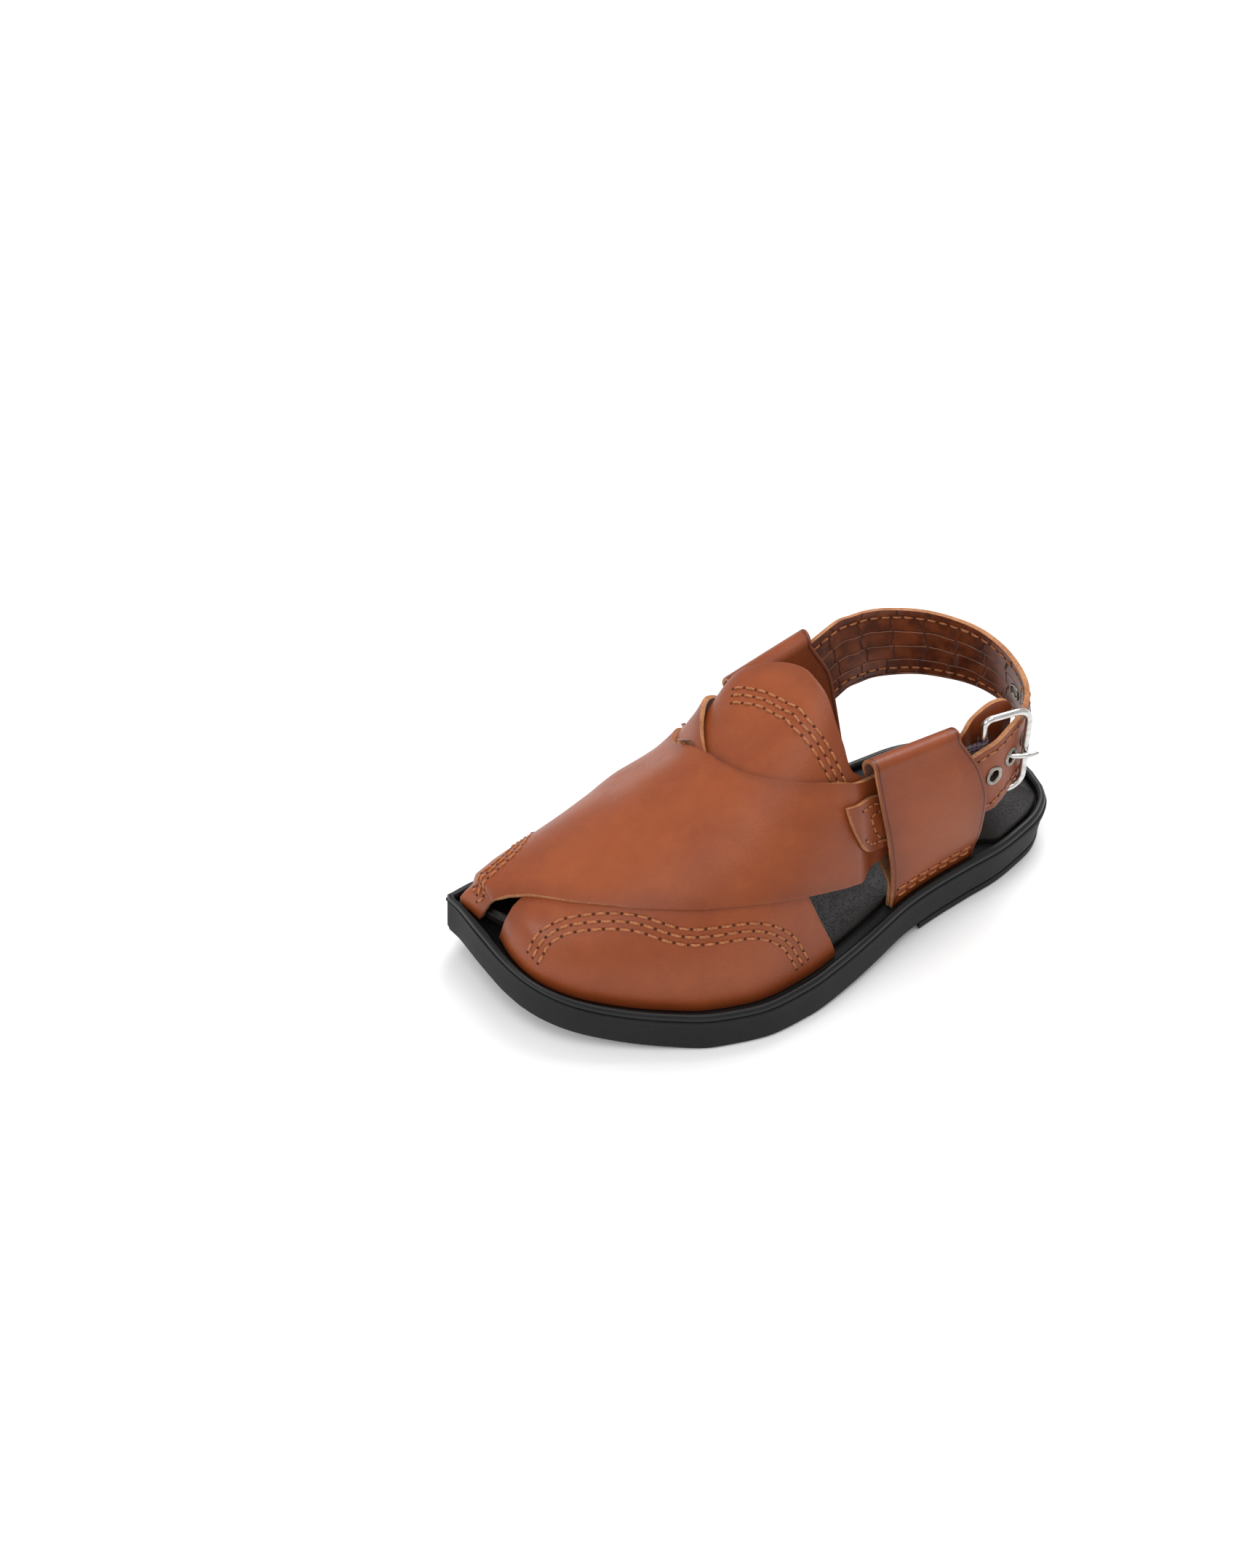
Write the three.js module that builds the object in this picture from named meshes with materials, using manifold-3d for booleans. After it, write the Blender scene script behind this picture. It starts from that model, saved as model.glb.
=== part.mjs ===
// A child's left peshawari chappal: two crossed vamp bands, a tongue, side loops and a buckled heel strap
// on a black rubber sole. Millimetres, +X to the toe, +Y to the outer side of the foot, +Z up.
// The origin is the middle of the heel's flat underside.
import * as THREE from "three";
import { mergeVertices } from "three/addons/utils/BufferGeometryUtils.js";
import Module from "manifold-3d";

const wasm = await Module();
wasm.setup();

// Driving dimensions
const SOLE_LENGTH = 196.5;
const SOLE_WIDTH = 95;
const HEEL_CENTRE_ALONG = 29;
const HEEL_CENTRE_ACROSS = -4.5;
const HEEL_LENGTH = 55;
const HEEL_LIFT = 2.4;
const HEEL_TOP = 14.5;
const TOE_RISE = 8.4;
const TOE_TOP = 21.2;
const CLEARANCE = 0.3;
const RIM_WIDTH = 5.2;
const BEAD_WIDTH = 2.9;
const BEAD_HEIGHT = 2;
const SOLE_CHAMFER = 0.9;
const LIP_DEPTH = 0.5;
const LIP_HEIGHT = 1.5;
const HEEL_UNDERCUT = 1.7;
const HEEL_BEVEL = 0.4;
const INSOLE_THICKNESS = 2;
const INSOLE_DOME = 1;
const INSOLE_EDGE_RISE = 0.6;
const INSOLE_EDGE_WIDTH = 0.8;
const INSOLE_DOME_START = 9;
const INSOLE_TOE_INSET = 2;
const INSTEP_HEIGHT = 65;
const LEATHER = 1.7;
const VAMP_STEP = 1.5;
const TONGUE_DEPTH = 2.7;
const STRAP_WIDTH = 23.6;
const STRAP_THICKNESS = 1.6;
const STRAP_TIP_GAP = 0.4;
const WIRE = 2.2;
const BUCKLE_HEIGHT = 31.4;
const BUCKLE_RAISE = 1.7;
const BUCKLE_CORNER = 5;
const PIN_WIRE = 1.8;
const PIN_TIP = 3.6;
const PIN_RISE = 0.2;
const WEB_THICKNESS = 0.7;
const WEB_WIDTH = 20;
const GUARD_THICKNESS = 1.4;
const LOOP_HEIGHT = 65.3;
const LOOP_OUTER_WALL = 1.5;
const LOOP_INNER_WALL = 1.2;
const LOOP_GAP = 5.4;
const LOOP_EASE = 1.1;
const LOOP_FOOT_INSET = 4.4;
const EYELET_OUTER = 6.6;
const EYELET_HOLE = 3.8;
const EYELET_WALL = 0.4;
const EYELET_RAISED = 0.5;
const EYELET_PITCH = 8.6;

// Rows of a table as objects with the table's column names.
function table(columns, rows) {
  return rows.map((row) => Object.fromEntries(columns.map((name, i) => [name, row[i]])));
}

// Sole outline seen from above: along as a share of the length, both edges as shares of the width.
const OUTLINE = table(["along", "outer", "inner"], [
  [0.0, 0.0, -0.075],
  [0.006, 0.045, -0.142],
  [0.02, 0.09, -0.2],
  [0.04, 0.131, -0.247],
  [0.076, 0.177, -0.305],
  [0.126, 0.226, -0.345],
  [0.192, 0.268, -0.361],
  [0.263, 0.316, -0.342],
  [0.318, 0.362, -0.322],
  [0.384, 0.435, -0.3],
  [0.455, 0.508, -0.318],
  [0.525, 0.566, -0.363],
  [0.606, 0.6, -0.4],
  [0.677, 0.589, -0.4],
  [0.747, 0.547, -0.363],
  [0.818, 0.489, -0.305],
  [0.879, 0.421, -0.247],
  [0.914, 0.358, -0.214],
  [0.939, 0.289, -0.189],
  [0.96, 0.195, -0.168],
  [0.978, 0.063, -0.147],
  [0.992, -0.063, -0.13],
  [1.0, -0.105, -0.121],
]);

// Side view of the sole: rise of the underside as a share of the toe's rise, arch as a share of the heel lift,
// and top of the sole as shares of the heel's and of the toe's top height.
const PROFILE = table(["along", "rise", "arch", "heelTop", "toeTop"], [
  [0.0, 0, 1, 1, 0],
  [0.28, 0, 1, 0.986, 0],
  [0.36, 0, 0.75, 0.945, 0],
  [0.42, 0, 0.4, 0.89, 0],
  [0.52, 0, 0, 0.8, 0],
  [0.6, 0, 0, 0.758, 0],
  [0.69, 0, 0, 0.62, 0.104],
  [0.78, 0.19, 0, 0.36, 0.339],
  [0.87, 0.5, 0, 0.16, 0.598],
  [0.94, 0.76, 0, 0.05, 0.824],
  [1.0, 1, 0, 0, 1],
]);

// The last above the sole: height as a share of the instep height, lean of the ridge to the inner side
// as a share of the width, fullness of the section (2 is an ellipse) and bulge of its inner shoulder
// as a share of the width.
const LAST = table(["along", "height", "lean", "fullness", "bulge"], [
  [0.1, 1.14, -0.105, 2.6, 0.04],
  [0.25, 1.14, -0.115, 2.6, 0.04],
  [0.33, 1.12, -0.135, 2.6, 0.045],
  [0.4, 1.1, -0.15, 2.5, 0.05],
  [0.45, 1.052, -0.135, 2.5, 0.065],
  [0.5, 0.973, -0.115, 2.5, 0.079],
  [0.57, 0.845, -0.075, 2.45, 0.03],
  [0.6, 0.797, -0.059, 2.43, -0.025],
  [0.63, 0.752, -0.045, 2.4, -0.045],
  [0.7, 0.648, -0.02, 2.35, -0.03],
  [0.78, 0.52, 0, 2.3, 0],
  [0.85, 0.412, 0, 2.4, 0],
  [0.9, 0.333, 0, 2.5, 0],
  [0.94, 0.255, 0, 2.5, 0],
  [0.97, 0.181, 0, 2.4, 0],
  [0.985, 0.127, 0, 2.3, 0],
  [1.0, 0.05, 0, 2.2, 0],
]);
// Girths between which the inner shoulder bulges, and the way it does so.
const SHOULDER = { from: 0.5, to: 0.84, across: -0.72, up: 0.69 };

// Edges of the vamp bands on the last: along as a share of the length, girth from 0 at the outer feather line
// to 1 at the inner one.
const OVER_FRONT = table(["along", "girth"], [
  [0.3, 0.058],
  [0.36, 0.046],
  [0.43, 0.07],
  [0.516, 0.121],
  [0.611, 0.194],
  [0.695, 0.247],
  [0.772, 0.309],
  [0.849, 0.386],
  [0.88, 0.428],
  [0.906, 0.456],
  [0.93, 0.464],
  [0.947, 0.449],
  [0.965, 0.39],
  [0.978, 0.311],
  [0.984, 0.159],
  [0.987, 0],
]);
const OVER_THROAT = { along: 0.61, girth: 0.66 };
const OVER_TOP = table(["along", "girth"], [
  [0.3, 0.19],
  [0.372, 0.192],
  [0.426, 0.235],
  [0.474, 0.289],
  [0.516, 0.35],
  [0.552, 0.418],
  [0.576, 0.4806],
  [0.591, 0.526],
  [0.602, 0.5786],
  [0.6075, 0.6353],
  [0.61, 0.66],
]);
const OVER_BACK = table(["along", "girth"], [
  [0.45, 1],
  [0.47, 0.985],
  [0.5, 0.955],
  [0.54, 0.905],
  [0.575, 0.85],
  [0.6, 0.785],
  [0.608, 0.725],
  [0.61, 0.66],
]);
const UNDER_FRONT = table(["along", "girth"], [
  [0.4, 0.915],
  [0.5, 0.86],
  [0.6, 0.78],
  [0.7, 0.68],
  [0.8, 0.575],
  [0.87, 0.51],
  [0.91, 0.46],
  [0.93, 0.416],
  [0.95, 0.303],
  [0.962, 0.17],
  [0.972, 0.01],
]);
const UNDER_THROAT = { along: 0.6, girth: 0.49 };
const UNDER_TOP = table(["along", "girth"], [
  [0.4, 0.81],
  [0.45, 0.805],
  [0.5, 0.785],
  [0.53, 0.742],
  [0.55, 0.698],
  [0.565, 0.652],
  [0.577, 0.612],
  [0.586, 0.573],
  [0.592, 0.536],
  [0.6, 0.49],
]);
const UNDER_BACK = table(["along", "girth"], [
  [0.461, 0],
  [0.467, 0.012],
  [0.486, 0.051],
  [0.504, 0.102],
  [0.535, 0.2],
  [0.565, 0.3],
  [0.588, 0.4],
  [0.6, 0.49],
]);
const TONGUE_BACK = table(["girth", "along"], [
  [0.195, 0.372],
  [0.208, 0.382],
  [0.222, 0.391],
  [0.247, 0.3965],
  [0.275, 0.3985],
  [0.338, 0.405],
  [0.413, 0.4085],
  [0.4685, 0.414],
  [0.513, 0.4195],
  [0.552, 0.4315],
  [0.59, 0.45],
  [0.62, 0.471],
  [0.655, 0.492],
  [0.7, 0.515],
]);
const TONGUE_FRONT_ALONG = 0.597;

// Shape-preserving cubic through a table's rows, as a function of its first column.
function curve(rows, x, y) {
  const xs = rows.map((row) => row[x]);
  const ys = rows.map((row) => row[y]);
  const steps = xs.slice(1).map((value, i) => value - xs[i]);
  const slopes = steps.map((step, i) => (ys[i + 1] - ys[i]) / step);
  const tangents = xs.map((_, i) => {
    if (i === 0) return slopes[0];
    if (i === xs.length - 1) return slopes[i - 1];
    if (slopes[i - 1] * slopes[i] <= 0) return 0;
    const before = 2 * steps[i] + steps[i - 1];
    const after = steps[i] + 2 * steps[i - 1];
    return (before + after) / (before / slopes[i - 1] + after / slopes[i]);
  });
  return (value) => {
    const at = Math.min(Math.max(value, xs[0]), xs[xs.length - 1]);
    let i = xs.findIndex((edge, k) => k > 0 && at <= edge) - 1;
    i = Math.max(i, 0);
    const h = steps[i];
    const s = (at - xs[i]) / h;
    return (
      ys[i] * (1 + 2 * s) * (1 - s) ** 2 +
      ys[i + 1] * s * s * (3 - 2 * s) +
      h * s * (1 - s) * (tangents[i] * (1 - s) - tangents[i + 1] * s)
    );
  };
}

const mix = (a, b, share) => a + (b - a) * share;
const smooth = (share) => {
  const s = Math.min(Math.max(share, 0), 1);
  return s * s * (3 - 2 * s);
};
const range = (count) => Array.from({ length: count + 1 }, (_, i) => i / count);

// Sole shape
const outerEdge = curve(OUTLINE, "along", "outer");
const innerEdge = curve(OUTLINE, "along", "inner");
const rise = curve(PROFILE, "along", "rise");
const arch = curve(PROFILE, "along", "arch");
const heelTop = curve(PROFILE, "along", "heelTop");
const toeTop = curve(PROFILE, "along", "toeTop");

const OUTER = 1;
const INNER = -1;
const SPINE_START = 0.1425;
const SPINE_END = 0.916;

// Sole top height at a share of the length.
const soleTop = (along) => heelTop(along) * HEEL_TOP + toeTop(along) * TOE_TOP;
// Sole underside height at a share of the length, over the heel block too.
const soleBottom = (along) => arch(along) * (HEEL_LIFT + CLEARANCE) + rise(along) * TOE_RISE;

// A point of the sole's edge, moved inward by a distance, as [x, y].
function edgePoint(side, along, inward = 0) {
  const edge = side === OUTER ? outerEdge : innerEdge;
  const x = along * SOLE_LENGTH;
  const y = edge(along) * SOLE_WIDTH;
  const centre = Math.min(Math.max(along, SPINE_START), SPINE_END);
  const toX = centre * SOLE_LENGTH - x;
  const toY = ((outerEdge(centre) + innerEdge(centre)) / 2) * SOLE_WIDTH - y;
  const reach = inward / Math.hypot(toX, toY);
  return [x + toX * reach, y + toY * reach];
}

// The last
const lastHeight = curve(LAST, "along", "height");
const lastLean = curve(LAST, "along", "lean");
const lastFullness = curve(LAST, "along", "fullness");
const lastBulge = curve(LAST, "along", "bulge");

function lastSurface(along, girth) {
  const outer = edgePoint(OUTER, along, RIM_WIDTH);
  const inner = edgePoint(INNER, along, RIM_WIDTH);
  const power = 2 / lastFullness(along);
  const cosine = Math.cos(Math.PI * girth);
  const across = 0.5 * (1 - Math.sign(cosine) * Math.abs(cosine) ** power);
  const up = Math.abs(Math.sin(Math.PI * girth)) ** power;
  const over = Math.min(Math.max((girth - SHOULDER.from) / (SHOULDER.to - SHOULDER.from), 0), 1);
  const bulge = lastBulge(along) * SOLE_WIDTH * Math.sin(Math.PI * over) ** 2;
  return new THREE.Vector3(
    mix(outer[0], inner[0], across),
    mix(outer[1], inner[1], across) + lastLean(along) * SOLE_WIDTH * up + SHOULDER.across * bulge,
    soleTop(along) + CLEARANCE + lastHeight(along) * INSTEP_HEIGHT * up + SHOULDER.up * bulge,
  );
}

// A point at a height over the last, along its normal.
function lastPoint(along, girth, lift) {
  const step = 2e-3;
  const u = Math.min(Math.max(along, 0.1 + step), 0.992);
  const t = Math.min(Math.max(girth, 0.004), 0.996);
  const lengthwise = lastSurface(u + step, t).sub(lastSurface(u - step, t));
  const girthwise = lastSurface(u, t + step).sub(lastSurface(u, t - step));
  const normal = girthwise.cross(lengthwise).normalize();
  return lastSurface(along, girth).addScaledVector(normal, lift);
}

// Builders of closed meshes
function geometryOf(points, faces) {
  const geometry = new THREE.BufferGeometry();
  geometry.setAttribute(
    "position",
    new THREE.Float32BufferAttribute(points.flatMap((p) => [p.x, p.y, p.z]), 3),
  );
  geometry.setIndex(faces.flat());
  return geometry;
}

function signedVolume(points, faces) {
  return faces.reduce((sum, [a, b, c]) => {
    return sum + points[a].dot(points[b].clone().cross(points[c]));
  }, 0);
}

function outward(points, faces) {
  const turned = signedVolume(points, faces) < 0;
  return geometryOf(points, turned ? faces.map(([a, b, c]) => [a, c, b]) : faces);
}

// A body through closed sections of equal point counts, capped at both ends or closed on itself.
function loft(sections, closed = false) {
  const count = sections[0].length;
  const points = sections.flat();
  const faces = [];
  const last = closed ? sections.length : sections.length - 1;
  for (let i = 0; i < last; i++) {
    const next = (i + 1) % sections.length;
    for (let j = 0; j < count; j++) {
      const k = (j + 1) % count;
      const quad = [i * count + j, next * count + j, next * count + k, i * count + k];
      faces.push([quad[0], quad[1], quad[2]], [quad[0], quad[2], quad[3]]);
    }
  }
  if (!closed) {
    const end = (sections.length - 1) * count;
    const push = (a, b, c) => faces.push([a, b, c], [end + a, end + c, end + b]);
    for (let a = 0, b = count - 1; b - a > 1; a++, b--) {
      push(a, a + 1, b);
      if (b - a > 2) push(a + 1, b - 1, b);
    }
  }
  return outward(points, faces);
}

// A sheet from grids of { inner, outer } points; grids that share edge points are joined there.
function sheet(grids) {
  const ids = new Map();
  const inner = [];
  const outer = [];
  const idOf = ({ inner: low, outer: high }) => {
    const key = [low, high].map((p) => p.toArray().map((v) => v.toFixed(3)).join()).join();
    if (!ids.has(key)) {
      ids.set(key, inner.length);
      inner.push(low);
      outer.push(high);
    }
    return ids.get(key);
  };
  const faces = [];
  for (const grid of grids) {
    for (let i = 0; i + 1 < grid.length; i++) {
      for (let j = 0; j + 1 < grid[i].length; j++) {
        const [a, b] = [idOf(grid[i][j]), idOf(grid[i + 1][j])];
        const [c, d] = [idOf(grid[i + 1][j + 1]), idOf(grid[i][j + 1])];
        if (a !== b && b !== c && a !== c) faces.push([a, b, c]);
        if (a !== c && c !== d && a !== d) faces.push([a, c, d]);
      }
    }
  }
  const count = inner.length;
  const edges = new Map();
  for (const [a, b, c] of faces) {
    for (const [from, to] of [[a, b], [b, c], [c, a]]) edges.set(from + "," + to, [from, to]);
  }
  const walls = [];
  for (const [from, to] of edges.values()) {
    if (edges.has(to + "," + from)) continue;
    walls.push([to + count, from + count, from], [to + count, from, to]);
  }
  const tops = faces.map((face) => face.map((id) => id + count));
  const bottoms = faces.map(([a, b, c]) => [a, c, b]);
  return outward([...inner, ...outer], [...tops, ...bottoms, ...walls]);
}

// A sheet of even thickness about a grid of mid points.
function bentSheet(grid, thickness) {
  const rows = grid.length - 1;
  const columns = grid[0].length - 1;
  const at = (i, j) => grid[Math.min(Math.max(i, 0), rows)][Math.min(Math.max(j, 0), columns)];
  const cells = grid.map((row, i) =>
    row.map((point, j) => {
      const along = at(i + 1, j).clone().sub(at(i - 1, j));
      const across = at(i, j + 1).clone().sub(at(i, j - 1));
      const half = along.cross(across).normalize().multiplyScalar(thickness / 2);
      return { inner: point.clone().sub(half), outer: point.clone().add(half) };
    }),
  );
  return sheet([cells]);
}

// A band on the last between two girths, as a grid of { inner, outer } points.
function bandGrid(alongs, girthsAt, place) {
  return alongs.map((along) =>
    girthsAt(along).map((girth) => ({
      inner: place(along, girth, -LEATHER),
      outer: place(along, girth, 0),
    })),
  );
}

const spread = (from, to, count) => range(count).map((share) => mix(from, to, share));

function solidOf(geometry) {
  const bare = geometry.index ? geometry.toNonIndexed() : geometry.clone();
  for (const name of ["normal", "uv"]) bare.deleteAttribute(name);
  const merged = mergeVertices(bare, 1e-4);
  return new wasm.Manifold(
    new wasm.Mesh({
      numProp: 3,
      vertProperties: merged.attributes.position.array,
      triVerts: new Uint32Array(merged.index.array),
    }),
  );
}

function geometryOfSolid(solid) {
  const mesh = solid.getMesh();
  const geometry = new THREE.BufferGeometry();
  const values = new Float32Array(mesh.numVert * 3);
  for (let i = 0; i < mesh.numVert; i++) {
    const start = i * mesh.numProp;
    values.set(mesh.vertProperties.subarray(start, start + 3), i * 3);
  }
  geometry.setAttribute("position", new THREE.BufferAttribute(values, 3));
  geometry.setIndex(new THREE.BufferAttribute(mesh.triVerts, 1));
  return geometry;
}

// Sole pieces
const STATIONS = 40;
const stations = range(STATIONS).map((share) => (1 - Math.cos(Math.PI * share)) / 2);

function soleSection(along) {
  const bottom = soleBottom(along);
  const top = soleTop(along);
  const undercut = HEEL_UNDERCUT * (1 - smooth(along / 0.5));
  const rows = [
    [undercut + SOLE_CHAMFER, bottom],
    [undercut, bottom + SOLE_CHAMFER],
    [LIP_DEPTH, top - LIP_HEIGHT],
    [0, top - LIP_HEIGHT * 0.8],
    [0, top - LIP_HEIGHT * 0.25],
    [LIP_DEPTH, top],
  ];
  const half = (side) =>
    rows.map(([inward, z]) => {
      const [x, y] = edgePoint(side, along, inward);
      return new THREE.Vector3(x, y, z);
    });
  return [...half(OUTER), ...half(INNER).reverse()];
}

const makeOutsole = () => loft(stations.map(soleSection));

function makeHeel() {
  const end = (HEEL_LENGTH + HEEL_UNDERCUT) / SOLE_LENGTH;
  const sections = range(16).map((share) => {
    const along = end * (1 - Math.cos((Math.PI / 2) * share));
    const undercut = HEEL_UNDERCUT * (1 - smooth(along / 0.5));
    return [
      ...[[undercut + HEEL_BEVEL, 0], [undercut, HEEL_LIFT]].map(([inward, z]) => {
        const [x, y] = edgePoint(OUTER, along, inward);
        return new THREE.Vector3(x, y, z);
      }),
      ...[[undercut, HEEL_LIFT], [undercut + HEEL_BEVEL, 0]].map(([inward, z]) => {
        const [x, y] = edgePoint(INNER, along, inward);
        return new THREE.Vector3(x, y, z);
      }),
    ];
  });
  return loft(sections);
}

// Section of the bead: inward as a share of its width, up as a share of its height.
const BEAD = table(["inward", "up"], [
  [0, 0],
  [-0.02, 0.35],
  [0.18, 0.85],
  [0.5, 1],
  [0.82, 0.85],
  [1.0, 0.4],
  [1.04, 0],
]);
const BEAD_FOOT = BEAD_WIDTH * BEAD[BEAD.length - 1].inward;

function makeWelt() {
  const section = (side, along) =>
    BEAD.map(({ inward, up }) => {
      const [x, y] = edgePoint(side, along, LIP_DEPTH + inward * BEAD_WIDTH);
      return new THREE.Vector3(x, y, soleTop(along) + CLEARANCE + up * BEAD_HEIGHT);
    });
  const loop = [
    ...stations.map((along) => section(OUTER, along)),
    ...[...stations].reverse().map((along) => section(INNER, along)),
  ];
  return loft(loop, true);
}

// The footbed reaches the bead at the heel and stays inside the leather further forward.
function insoleInset(along) {
  const heel = LIP_DEPTH + BEAD_FOOT + CLEARANCE;
  const waist = RIM_WIDTH + LEATHER + 4 * CLEARANCE;
  const toward = (from, to) => smooth((along - from) / (to - from));
  return mix(heel, waist, toward(0.115, 0.165)) + INSOLE_TOE_INSET * toward(0.78, 0.9);
}

function makeInsole() {
  const sections = stations.map((along) => {
    const inset = insoleInset(along);
    const base = soleTop(along) + CLEARANCE;
    const place = (side, inward, z) => {
      const [x, y] = edgePoint(side, along, inward);
      return new THREE.Vector3(x, y, z);
    };
    const edge = base + INSOLE_THICKNESS;
    return [
      place(OUTER, inset, base),
      place(OUTER, inset, edge - INSOLE_EDGE_RISE),
      place(OUTER, inset + INSOLE_EDGE_WIDTH, edge),
      place(OUTER, inset + INSOLE_DOME_START, edge + INSOLE_DOME),
      place(INNER, inset + INSOLE_DOME_START, edge + INSOLE_DOME),
      place(INNER, inset + INSOLE_EDGE_WIDTH, edge),
      place(INNER, inset, edge - INSOLE_EDGE_RISE),
      place(INNER, inset, base),
    ];
  });
  return loft(sections.slice(1, -1));
}

// Side loops: face of the folded leather from its rear edge to its front edge, from foot to fold.
const LOOP_COLUMNS = ["rearAlong", "rearAcross", "frontAlong", "frontAcross", "rearUp", "frontUp"];
const OUTER_LOOP = table(["share", ...LOOP_COLUMNS], [
  [0.0, 0.177, 0.212, 0.343, 0.336, 0, 0],
  [0.2, 0.171, 0.229, 0.342, 0.327, 0.194, 0.194],
  [0.5, 0.168, 0.235, 0.349, 0.308, 0.485, 0.485],
  [0.75, 0.181, 0.227, 0.359, 0.284, 0.727, 0.727],
  [1.0, 0.214, 0.197, 0.368, 0.256, 0.97, 0.97],
]);
const INNER_LOOP = table(["share", ...LOOP_COLUMNS], [
  [0.0, 0.305, -0.28, 0.438, -0.268, 0, 0],
  [0.25, 0.31, -0.325, 0.453, -0.305, 0.25, 0.219],
  [0.5, 0.3155, -0.365, 0.468, -0.345, 0.515, 0.439],
  [0.75, 0.325, -0.4, 0.4835, -0.37, 0.785, 0.658],
  [1.0, 0.36, -0.418, 0.499, -0.379, 1.05, 0.877],
]);
// Share of a loop's height over which its foot curves in, and of its length that its inner wall leaves open.
const LOOP_FOOT_SHARE = 0.25;
const LOOP_CUTBACK = 0.16;

function makeLoopFace(rows, cutback) {
  const [rearAlong, rearAcross, frontAlong, frontAcross, rearUp, frontUp] = LOOP_COLUMNS.map((name) =>
    curve(rows, "share", name),
  );
  const side = rows[0].rearAcross > 0 ? OUTER : INNER;
  const face = (length, share) => {
    const along = mix(rearAlong(share), frontAlong(share), length);
    const foot = soleTop(along) + CLEARANCE;
    const edge = edgePoint(side, along, LOOP_FOOT_INSET)[1];
    const across = mix(rearAcross(share), frontAcross(share), length) * SOLE_WIDTH;
    return new THREE.Vector3(
      along * SOLE_LENGTH,
      mix(edge, across, smooth(share / LOOP_FOOT_SHARE)),
      mix(foot, LOOP_HEIGHT, mix(rearUp(share), frontUp(share), length)),
    );
  };
  const inward = (length, share) => {
    const step = 0.02;
    const low = Math.min(share, 1 - step);
    const lengthwise = face(length + step, low).sub(face(length - step, low));
    const upward = face(length, low + step).sub(face(length, Math.max(low - step, 0)));
    const normal = lengthwise.cross(upward).normalize();
    return normal.multiplyScalar(-Math.sign(normal.y) * side);
  };
  // The point at x and z, a depth behind the face.
  const within = (x, z, depth) => {
    let share = 0.5;
    let length = 0.5;
    for (let i = 0; i < 8; i++) {
      const along = x / SOLE_LENGTH;
      length = (along - rearAlong(share)) / (frontAlong(share) - rearAlong(share));
      const reached = face(length, share).z;
      share = Math.min(Math.max(share + (z - reached) / (LOOP_HEIGHT - HEEL_TOP), 0), 1);
    }
    const point = face(length, share);
    point.z = z;
    return point.addScaledVector(inward(length, share), depth);
  };
  return { face, inward, within, cutback };
}
const outerLoop = makeLoopFace(OUTER_LOOP, LOOP_CUTBACK);
const innerLoop = makeLoopFace(INNER_LOOP, 0);

const LOOP_THICKNESS = LOOP_OUTER_WALL + LOOP_GAP + LOOP_INNER_WALL;
const LOOP_FOOT = LOOP_OUTER_WALL + LOOP_INNER_WALL;
const LOOP_SPLIT = 0.16;
const LOOP_OPEN = 0.3;

// Section of a folded loop, or of its hollow when the walls are taken off.
function loopSection(loop, length, walls, shares) {
  const thick = (share) =>
    mix(LOOP_FOOT, LOOP_THICKNESS, smooth((share - LOOP_SPLIT) / (LOOP_OPEN - LOOP_SPLIT)));
  const outerSide = shares.map((share) =>
    loop.face(length, share).addScaledVector(loop.inward(length, share), walls * LOOP_OUTER_WALL),
  );
  const innerSide = shares.map((share) => {
    const back = mix(loop.cutback * (1 - share * share), 1, length);
    const depth = thick(share) - walls * LOOP_INNER_WALL;
    return loop.face(back, share).addScaledVector(loop.inward(back, share), depth);
  });
  const from = outerSide[outerSide.length - 1];
  const to = innerSide[innerSide.length - 1];
  const centre = from.clone().add(to).divideScalar(2);
  const radius = from.distanceTo(to) / 2;
  const across = from.clone().sub(to).normalize();
  const cap = [0.2, 0.4, 0.6, 0.8].map((share) => {
    const turn = Math.PI * share;
    const point = centre.clone().addScaledVector(across, radius * Math.cos(turn));
    point.z += radius * Math.sin(turn);
    return point;
  });
  return [...outerSide, ...cap, ...innerSide.reverse()];
}

function makeSideLoop(loop) {
  const shell = [0, 0.16, 0.23, 0.3, 0.45, 0.6, 0.8, 1];
  const hollow = [0.24, 0.3, 0.45, 0.6, 0.8, 1];
  const body = range(7).map((length) => loopSection(loop, length, 0, shell));
  const core = range(9).map((share) => loopSection(loop, mix(-0.15, 1.15, share), 1, hollow));
  return geometryOfSolid(solidOf(loft(body)).subtract(solidOf(loft(core))));
}

// Depths behind the outer face of a loop: the heel strap, the band or the web, and the guard inside them all
const STRAP_DEPTH = LOOP_OUTER_WALL + LOOP_EASE + STRAP_THICKNESS / 2;
const WEB_DEPTH = STRAP_DEPTH + STRAP_THICKNESS / 2 + 2 * CLEARANCE + WEB_THICKNESS / 2;
const GUARD_DEPTH = LOOP_THICKNESS + 2 * CLEARANCE + GUARD_THICKNESS / 2;
const TAIL_DEPTH = STRAP_DEPTH + STRAP_THICKNESS / 2 + 2 * CLEARANCE;

// Where a band's tail leaves the last for its side loop: start and run along, and girth off the ridge.
const OUTER_TAIL = { start: 0.415, run: 0.055 };
const INNER_TAIL = { start: 0.565, run: 0.07 };
const TAIL_SIDE = { from: 0.06, run: 0.1 };

// A point of a band's tail: on the last at its front, in the loop's hollow at its rear.
function tailPoint(side, along, girth, lift) {
  const onLast = lastPoint(along, girth, lift);
  const { start, run } = side === OUTER ? OUTER_TAIL : INNER_TAIL;
  const offRidge = side === OUTER ? 0.5 - girth : girth - 0.5;
  const share = smooth((start - along) / run) * smooth((offRidge - TAIL_SIDE.from) / TAIL_SIDE.run);
  if (share === 0) return onLast;
  const loop = side === OUTER ? outerLoop : innerLoop;
  const top = side === OUTER ? VAMP_STEP : 0;
  return onLast.lerp(loop.within(onLast.x, onLast.z, TAIL_DEPTH + top - lift), share);
}

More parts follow.
